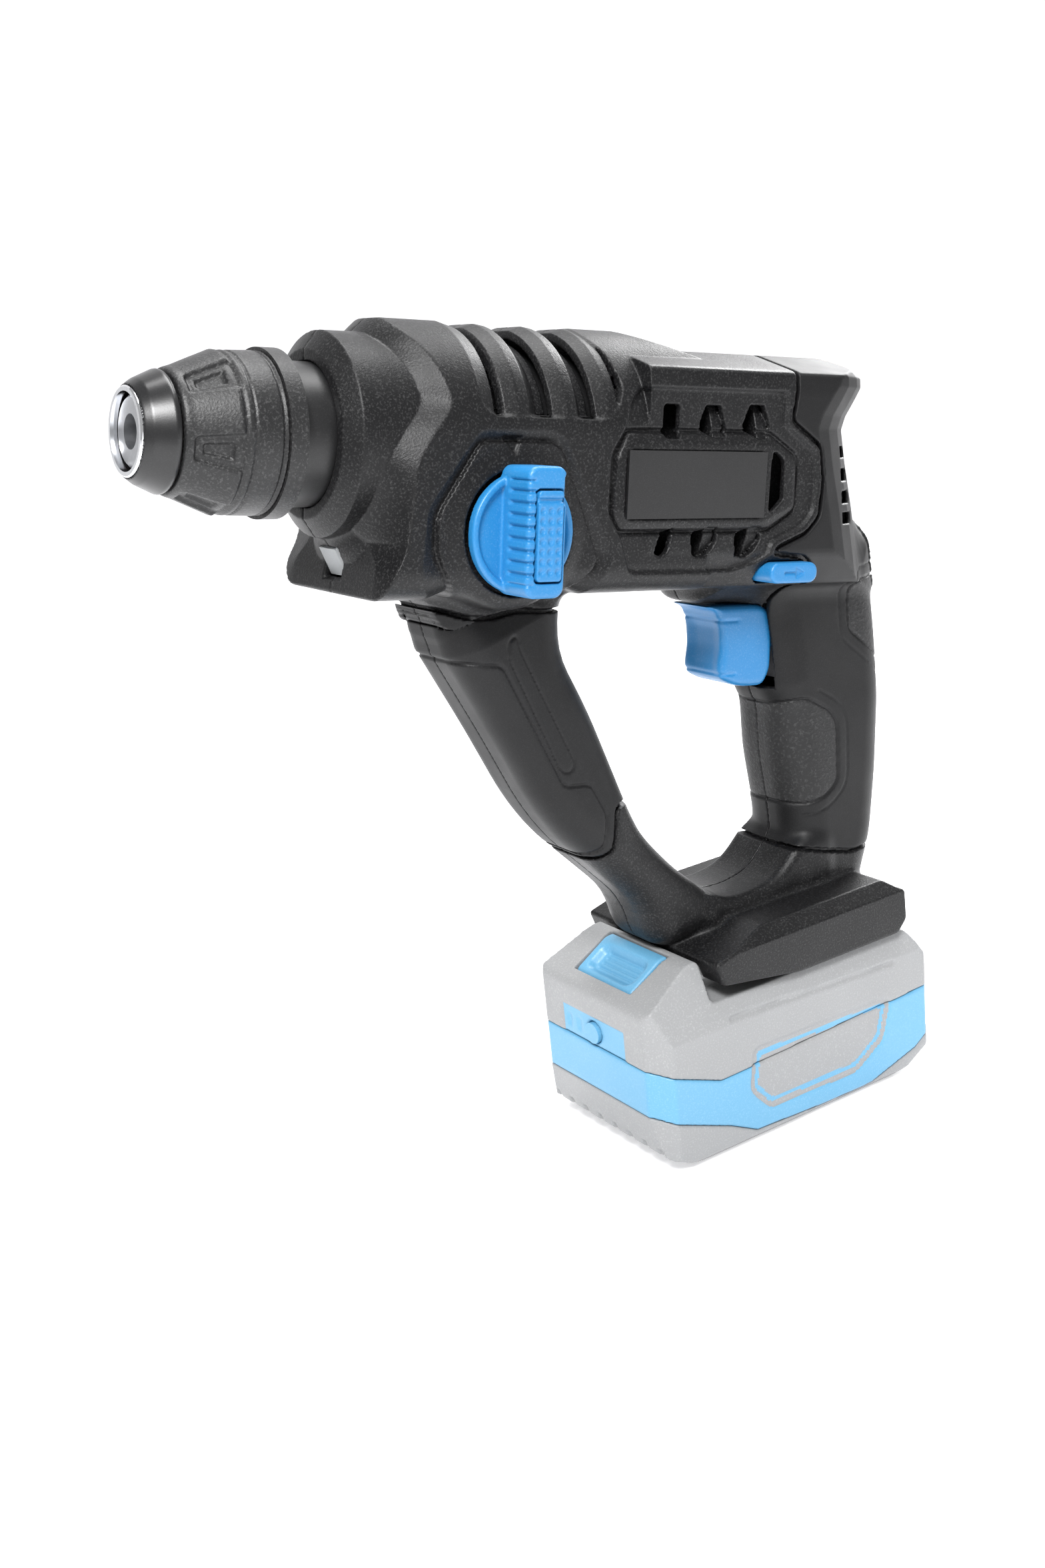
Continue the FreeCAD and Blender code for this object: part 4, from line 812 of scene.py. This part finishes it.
def texture_patches(piece):
    """Gives the palm panel and the thumb pad their coarser grain."""
    mesh = piece.data
    mesh.materials.append(TEXTURED)
    centres = np.zeros(len(mesh.polygons) * 3, np.float32)
    mesh.polygons.foreach_get("center", centres)
    turn = np.array(BARREL.inverted())
    local = (centres.reshape(-1, 3) @ turn[:3, :3].T + turn[:3, 3]) / MM
    inside = np.minimum(
        outline(local[:, 0], local[:, 2], rounded(GRIP_PANEL, 3)),
        outline(local[:, 0], local[:, 2], THUMB_PAD))
    mesh.polygons.foreach_set("material_index", (inside < -0.5).astype(np.int32))


housing()


# ---- chuck

SLEEVE_PADS = 6
PAD_ANGLE = 2 * math.pi / SLEEVE_PADS
SLEEVE_MIDDLE, SLEEVE_HALF = 25.9, 14.65
WINDOW_MIDDLE, WINDOW_REACH, WINDOW_ARC = 20.6, 6.6, 4.6
CAP_MIDDLE, CAP_HALF, CAP_BORE = 5.6, 5.1, 13.0


def chuck():
    """The sliding sleeve with its padded coat, and the nose cap."""
    grid = Grid((9, -26, -26), (42, 26, 26), 0.5)
    x, y, z = grid.x, grid.y, grid.z
    radius = np.hypot(y, z)
    angle = np.arctan2(z, y) + 0.3
    arc = (np.mod(angle, PAD_ANGLE) - PAD_ANGLE / 2) * 22
    coat = np.interp(x, [11.2, 12.2, 14, 26.4, 27.6, 28.6, 40], [17.8, 18.4, 18.9, 23.9, 22.9, 23.7,
        24.0])
    coat = coat.astype(np.float32)
    window_side = np.abs(arc) - WINDOW_ARC - (x - 20) * 0.09
    window = pillow(np.abs(x - WINDOW_MIDDLE) - WINDOW_REACH, window_side, 1.2)
    depth = 1.3 * fade(window, 0.9) + 1.1 * fade(window + 2.6, 0.8)
    depth = depth + groove(np.abs(x - 30.4), 0.8, 0.5) + groove(np.abs(x - 39.2), 0.9, 0.6)
    wall = (radius - coat) * 0.93 + depth
    bore = np.interp(x, [27.0, 28.2], [15.7, 22.0]).astype(np.float32)
    sleeve = np.maximum(np.maximum(wall, bore - radius), np.abs(x - SLEEVE_MIDDLE) - SLEEVE_HALF)
    sculpted("sleeve_coat", grid, sleeve, BARREL, "chuck_sleeve", LOOKS["sleeve_black"],
             ["chuck_sleeve"], keep=0.6)
    grid = Grid((0, -19, -19), (11.6, 19, 19), 0.34)
    x, y, z = grid.x, grid.y, grid.z
    radius = np.hypot(y, z)
    lip = np.interp(x, [0.5, 1.1, 3.2, 9.0, 9.6, 10.7],
        [12.95, 13.6, 15.1, 17.7, 17.75, 17.3]).astype(np.float32)
    ends = np.maximum(CAP_BORE - radius, np.abs(x - CAP_MIDDLE) - CAP_HALF)
    cap = np.maximum((radius - lip) * 0.88, ends)
    sculpted("nose_cap", grid, cap, BARREL, "spindle", LOOKS["seal_rubber"],
        ["dust_cap"], keep=0.6)


chuck()


# ---- controls

TRIGGER = [
    (208.6, -56.1), (214.3, -58.3), (216.6, -64.3), (217.6, -71.6), (216.9, -78.7), (217.8, -82.2),
    (223.9, -84.8), (229.2, -85.6), (238, -85.6), (241, -80), (241, -59), (234, -56.1)]
ARROW = [(-4.6, 0.5), (0.6, 0.5), (0.6, 1.7), (4.6, 0), (0.6, -1.7), (0.6, -0.5), (-4.6, -0.5)]


DISC_RADIUS, DISC_FACE, KNOB_FLOOR = 18.3, 39.2, 36.0
BAR_FACE, BAR_HALF = 51.4, (7.0, 19.5)
POCKET_FLOOR, POCKET_HALF = 47.3, (5.0, 14.0)
PAD_FACE, PAD_BACK, PAD_HALF, PAD_SHIFT = 52.1, 48.9, (4.5, 13.4), 0.8
FINGER_RIB, DIMPLE = 3.5, 3.0


def knob():
    """The mode knob: a dished disc with a ribbed finger bar, and the pad of its release button."""
    grid = Grid((KNOB_X - 20, 16, KNOB_Z - 21), (KNOB_X + 20, 53, KNOB_Z + 23), 0.42)
    p, y, q = grid.x - KNOB_X, grid.y, grid.z - KNOB_Z
    around = np.hypot(p, q)
    dish = 1.7 * fade(around - 15.8, 1.6)
    disc = np.maximum(pillow(around - DISC_RADIUS, y - DISC_FACE + dish, 0.8), KNOB_FLOOR - y)
    plan = box2(p, q - 1.0, *BAR_HALF, 3.5)
    rib_line = np.abs(np.mod(q + 16.6, FINGER_RIB) - FINGER_RIB / 2) - 0.55
    ribs = 1.1 * fade(rib_line, 0.8) * fade(np.abs(q - 1) - 15.6, 0.8)
    ribs = ribs * fade(p + 4.4, 1.4)
    waist = 0.9 * fade(np.abs(p - 8) - 2.6, 2) * fade(np.abs(q - 13.5) - 4.2, 1.4)
    bar = pillow(plan + waist, y - BAR_FACE, 1.4) + ribs * fade(41 - y, 2)
    bar = np.maximum(bar, KNOB_FLOOR - y)
    pocket = np.maximum(box2(p - PAD_SHIFT, q, *POCKET_HALF, 1.2), POCKET_FLOOR - y)
    shaft = np.maximum(around - 6.5, np.abs(y - 27) - 9.6)
    field = np.minimum(blended(disc, drilled(bar, pocket), 0.6), shaft)
    sculpted("knob_body", grid, field, BARREL, "mode_knob", LOOKS["control_blue"],
             ["mode_knob"], True, keep=0.5)
    grid = Grid((KNOB_X - 6, 47, KNOB_Z - 15), (KNOB_X + 8, 53.4, KNOB_Z + 15), 0.3)
    p, y, q = grid.x - KNOB_X - PAD_SHIFT, grid.y, grid.z - KNOB_Z
    dimple_p = np.mod(p + 10.5, DIMPLE) - DIMPLE / 2
    dimple_q = np.mod(q + 21, DIMPLE) - DIMPLE / 2
    dimples = 0.45 * fade(np.hypot(dimple_p, dimple_q) - 0.85, 0.6)
    dimples = dimples * fade(np.maximum(np.abs(p) - 4.0, np.abs(q + 1.5) - 10.2), 0.6)
    notch = 0.9 * fade(np.abs(q - 10.6) - 0.7, 0.7)
    pad = pillow(box2(p, q, *PAD_HALF, 1.2), y - PAD_FACE + dimples + notch, 0.5)
    sculpted("knob_pad", grid, np.maximum(pad, PAD_BACK - y), BARREL, "knob_button",
             LOOKS["control_blue"], ["knob_button"], True, keep=0.6)


TRIGGER_HALF = 11
STEM_RADIUS, STEM_Z, STEM_MIDDLE, STEM_HALF = 3, -70, 247, 8
BAR_REACH, BAR_SIZE = 38.3, (10.5, 3.5)


def trigger():
    """The trigger: a blade hollowed for the finger, with its stem."""
    grid = Grid((206, -12.2, -88), (257, 12.2, -54), 0.5)
    x, y, z = grid.x, grid.y, grid.z
    side = outline(x, z, rounded(TRIGGER, 2.4))
    hollow = 1.1 * fade(np.abs(z + 71) - 8.5, 5) * fade(np.abs(y) - 6.5, 5) * fade(x - 220, 6)
    creases = groove(np.abs(z + 61.5), 1.0, 0.45) + groove(np.abs(z + 80.6), 1.0, 0.45)
    blade = pillow(side, np.abs(y) - TRIGGER_HALF, 2.6) + hollow + creases * fade(x - 224, 3)
    stem = np.maximum(np.hypot(y, z - STEM_Z) - STEM_RADIUS, np.abs(x - STEM_MIDDLE) - STEM_HALF)
    sculpted("trigger_blade", grid, np.minimum(blade, stem), BARREL, "trigger",
             LOOKS["control_blue"], ["trigger"], keep=0.6)


def direction_bar():
    """The bar that slides across the tool, an arrow pressed into each end."""
    place_x, place_z = middle_of("direction_switch")
    grid = Grid((place_x - 11.5, -39.5, place_z - 4.4), (place_x + 11.5, 39.5, place_z + 4.4), 0.42)
    p, y, q = grid.x - place_x, grid.y, grid.z - place_z
    across = np.abs(y)
    arrow = 0.7 * fade(outline(p, q, ARROW), 0.4)
    bar = pillow(box2(p, q, *BAR_SIZE, 3.3), across - BAR_REACH + arrow, 1.1)
    sculpted("direction_bar", grid, bar, BARREL, "direction_switch",
        LOOKS["control_blue"],
             ["direction_switch"], keep=0.5)


knob()
trigger()
direction_bar()


# ---- battery

PACK_SIDE = [
    (-31, -53), (-20, -58), (-14, -60), (81, -60), (99.2, -49.9), (101.9, -25.2), (101.4, -18.1),
    (88.6, -0.7),
    (-5.6, -0.7), (-5.6, 14.2), (-12, 13.6), (-34, 2), (-34, -37)]
PANEL = [(9.5, -22.2), (72.4, -23.5), (77.6, -25.3), (73.4, -40.6), (59, -49.5), (15.5, -48.7),
    (6.7, -38.6)]
BAND_TOP = ([-34, -31, -6, 80, 102], [-19, -19.9, -29.5, -26.5, -25.2])
BAND_BOTTOM = ([-34, -32, -3, 9, 63, 90, 102], [-37, -37.5, -48.9, -55, -57.5, -50, -42.1])
LATCH = [(-27.6, -4), (-9.6, -4), (-9.6, 13.6), (-13.6, 13.2), (-27.6, 4.8)]
PACK_HALF = 38
PACK_WALL = 2.3
SPLIT_GAP = 0.1
GAUGE_HALF, GAUGE_V = (19, 6), -13.5
LATCH_POCKET = 17.1
TONGUE_MIDDLE, TONGUE_REACH = 29, 35
TONGUE_NECK, TONGUE_HEAD = 22, 25.5


def pack_skin(u, v, y):
    """The pack's outer surface with its ridges, panel frames and front gauge field."""
    across = np.abs(y)
    side = outline(u, v, rounded(PACK_SIDE, 2.5))
    body = pillow(side, across - PACK_HALF, 2.2)
    body = np.maximum(body, (across - 30 - (u + 34) * 1.15) * 0.66)
    body = np.maximum(body, (across - 37.4 + (v + 8) * 0.42) * 0.92)
    body = np.maximum(body, (across - 34 - (v + 60) * 1.0) * 0.7)
    body = np.maximum(body, (across - 33 - (101 - u) * 0.9) * 0.74)
    wall = fade(30 - across, 4)
    panel = outline(u, v, rounded(PANEL, 3))
    depth = wall * (0.7 * fade(panel, 1.0) + groove(np.abs(panel + 3), 0.8, 0.5))
    ridge = trace(u, v, [(0.6, -7.6), (79.3, -10.9)])
    depth = depth + wall * groove(ridge, 1.6, 0.8)
    ribs = groove(np.abs(np.mod(y, 9.0) - 4.5), 2.6, 1.4) * fade(np.abs(v + 55) - 5, 1.5) * fade(u + 6,
        8)
    front = fade(u + 30, 2)
    field = np.maximum(across - GAUGE_HALF[0], np.abs(v - GAUGE_V) - GAUGE_HALF[1])
    depth = depth + ribs + front * (0.6 * fade(field, 0.8))
    lights = np.maximum(np.abs(np.mod(y, 6.0) - 3) - 1.1, np.abs(v - GAUGE_V) - 2.4)
    depth = depth + front * 0.6 * fade(np.maximum(lights, 6.0 - y), 0.5) * (y < 17)
    return body + depth


def battery():
    """The pack's two shells and band, cut from one form, and the latch button."""
    grid = Grid((-37, -39.5, -62), (104, 39.5, 15.6), 0.72)
    u, y, v = grid.x, grid.y, grid.z
    across = np.abs(y)
    body = pack_skin(u, v, y).astype(np.float32)
    hollow = np.maximum(body + PACK_WALL, v + 3.2)
    top = np.interp(u, *BAND_TOP).astype(np.float32)
    bottom = np.interp(u, *BAND_BOTTOM).astype(np.float32)
    pocket = np.maximum(outline(u, v, rounded(LATCH, 1)) - 0.5, across - LATCH_POCKET)
    along_tongue = np.abs(u - TONGUE_MIDDLE) - TONGUE_REACH
    neck = np.maximum(across - TONGUE_NECK, np.maximum(along_tongue, np.abs(v - 4) - 6))
    head = np.maximum(across - TONGUE_HEAD, np.maximum(along_tongue, np.abs(v - 7.45) - 2.85))
    tongue = np.minimum(neck, head)
    shell = drilled(drilled(body, hollow), pocket)
    upper = np.minimum(np.maximum(shell, top + SPLIT_GAP - v), tongue)
    upper = drilled(upper, np.maximum(np.hypot(y, v + 14) - 4.3, u + 28))
    grey, blue = LOOKS["pack_grey"], LOOKS["pack_blue"]
    tint(sculpted("pack_upper", grid, upper, FOOT, "battery", grey,
        ["battery_upper_shell"]))
    band = np.maximum(np.maximum(shell + 0.15, v - top + SPLIT_GAP), bottom + SPLIT_GAP - v)
    tint(sculpted("pack_band", grid, band, FOOT, "battery", blue, ["battery_band"]))
    lower = np.maximum(shell, v - bottom + SPLIT_GAP)
    tint(sculpted("pack_lower", grid, lower, FOOT, "battery", grey,
        ["battery_lower_shell"]))
    grid = Grid((-29, -17.4, -5), (-8.6, 17.4, 15), 0.4)
    u, y, v = grid.x, grid.y, grid.z
    across = np.abs(y)
    run = (u + 27.6) * 0.857 + (v - 4.8) * 0.515
    bowl = 2.6 * fade(box2(run - 8.2, across, 5.2, 12.5, 3), 3.4)
    ribs = groove(np.abs(np.mod(run, 2.2) - 1.1), 0.8, 0.5) * fade(box2(run - 8.2, across, 4.4, 10, 1),
        0.8)
    button = pillow(outline(u, v, rounded(LATCH, 1.4)), across - 16.5,
        1.2) + bowl * (v > 0) + ribs * (v > 0)
    sculpted("latch_button", grid, button, FOOT, "battery_latch", blue, ["battery_latch"])


def tint(piece):
    """Paints the gauge field and the side panels' frames blue, and the panels themselves grey."""
    mesh = piece.data
    grey, blue = LOOKS["pack_grey"], LOOKS["pack_blue"]
    mesh.materials.clear()
    mesh.materials.append(blue if piece.name == "pack_band" else grey)
    mesh.materials.append(blue)
    mesh.materials.append(grey)
    centres = np.zeros(len(mesh.polygons) * 3, np.float32)
    mesh.polygons.foreach_get("center", centres)
    u, y, v = ((centres.reshape(-1, 3) - np.array(FOOT.translation)) / MM).T
    choice = np.zeros(len(u), np.int32)
    choice[(u < -30) & (np.abs(y) < 18.6) & (np.abs(v + 13.5) < 5.7)] = 1
    panel = outline(u, v, rounded(PANEL, 3))
    choice[(panel < 0) & (np.abs(y) > 34)] = 2
    choice[(np.abs(panel + 3) < 0.9) & (np.abs(y) > 34)] = 1
    mesh.polygons.foreach_set("material_index", choice)


battery()


# ---- camera, light and floor

# The camera stands in the barrel frame, level with the barrel.
VIEW_SPOT = Vector((-178.757, -467.676, 6.237)) * MM
VIEW_RIGHT = Vector((0.85028647, -0.52570562, 0.02542685))
VIEW_UP = Vector((0.09592295, 0.20228703, 0.97461723))
LENS_LENGTH, SENSOR = 38.87, 36.0
SHIFT_X, SHIFT_Y = 0.0427, 0.0127


def set_camera():
    """The standing view, from the tool's left front."""
    turn = Matrix((VIEW_RIGHT, VIEW_UP, VIEW_RIGHT.cross(VIEW_UP))).transposed()
    camera = bpy.data.objects.new("camera", bpy.data.cameras.new("camera"))
    bpy.context.scene.collection.objects.link(camera)
    camera.matrix_world = BARREL @ (Matrix.Translation(VIEW_SPOT) @ turn.to_4x4())
    camera.data.lens = LENS_LENGTH
    camera.data.sensor_width = SENSOR
    camera.data.shift_x = SHIFT_X
    camera.data.shift_y = SHIFT_Y
    camera.data.clip_start = 0.01
    bpy.context.scene.camera = camera
    return camera


def sweep_floor():
    """A pale floor that curves up into a backdrop behind the tool."""
    profile = [(-3.0, 0.0), (1.2, 0.0)]
    for k in range(1, 13):
        angle = math.pi / 2 * k / 12
        profile.append((1.2 + math.sin(angle), 1 - math.cos(angle)))
    profile.append((2.2, 4.0))
    across = [-4.0, 4.0]
    direction = Vector((0.62, 0.78, 0)).normalized()
    sideways = Vector((direction.y, -direction.x, 0))
    vertices = []
    for distance, height in profile:
        for offset in across:
            place = direction * distance + sideways * offset
            vertices.append((place.x, place.y, height))
    faces = [(2 * i, 2 * i + 1, 2 * i + 3, 2 * i + 2) for i in range(len(profile) - 1)]
    mesh = bpy.data.meshes.new("floor")
    mesh.from_pydata(vertices, [], faces)
    mesh.polygons.foreach_set("use_smooth", [True] * len(faces))
    floor = bpy.data.objects.new("floor", mesh)
    bpy.context.scene.collection.objects.link(floor)
    floor.data.materials.append(moulded("floor_paper", (0.86, 0.86, 0.87), 0.8, 300, 0.05, 0.0,
        glow=0.5))


def area_light(name, place, size, power, target=(0, 0, 0.18)):
    """A soft light aimed at the target."""
    lamp = bpy.data.lights.new(name, "AREA")
    lamp.shape = "RECTANGLE"
    lamp.size, lamp.size_y = size
    lamp.energy = power
    piece = bpy.data.objects.new(name, lamp)
    bpy.context.scene.collection.objects.link(piece)
    piece.location = place
    piece.rotation_euler = (Vector(target) - Vector(place)).to_track_quat("-Z", "Y").to_euler()


def set_light():
    world = bpy.data.worlds.new("studio")
    bpy.context.scene.world = world
    world.use_nodes = True
    world.node_tree.nodes["Background"].inputs["Color"].default_value = (1, 1, 1, 1)
    world.node_tree.nodes["Background"].inputs["Strength"].default_value = 0.42
    area_light("key", (-0.6, -0.6, 1.0), (0.35, 0.35), 20)
    area_light("top", (0.15, 0.1, 1.1), (0.7, 0.5), 10)
    area_light("rear_rim", (0.75, 0.35, 0.6), (0.3, 0.6), 9)
    bpy.context.scene.view_settings.view_transform = "Standard"


set_camera()
sweep_floor()
set_light()
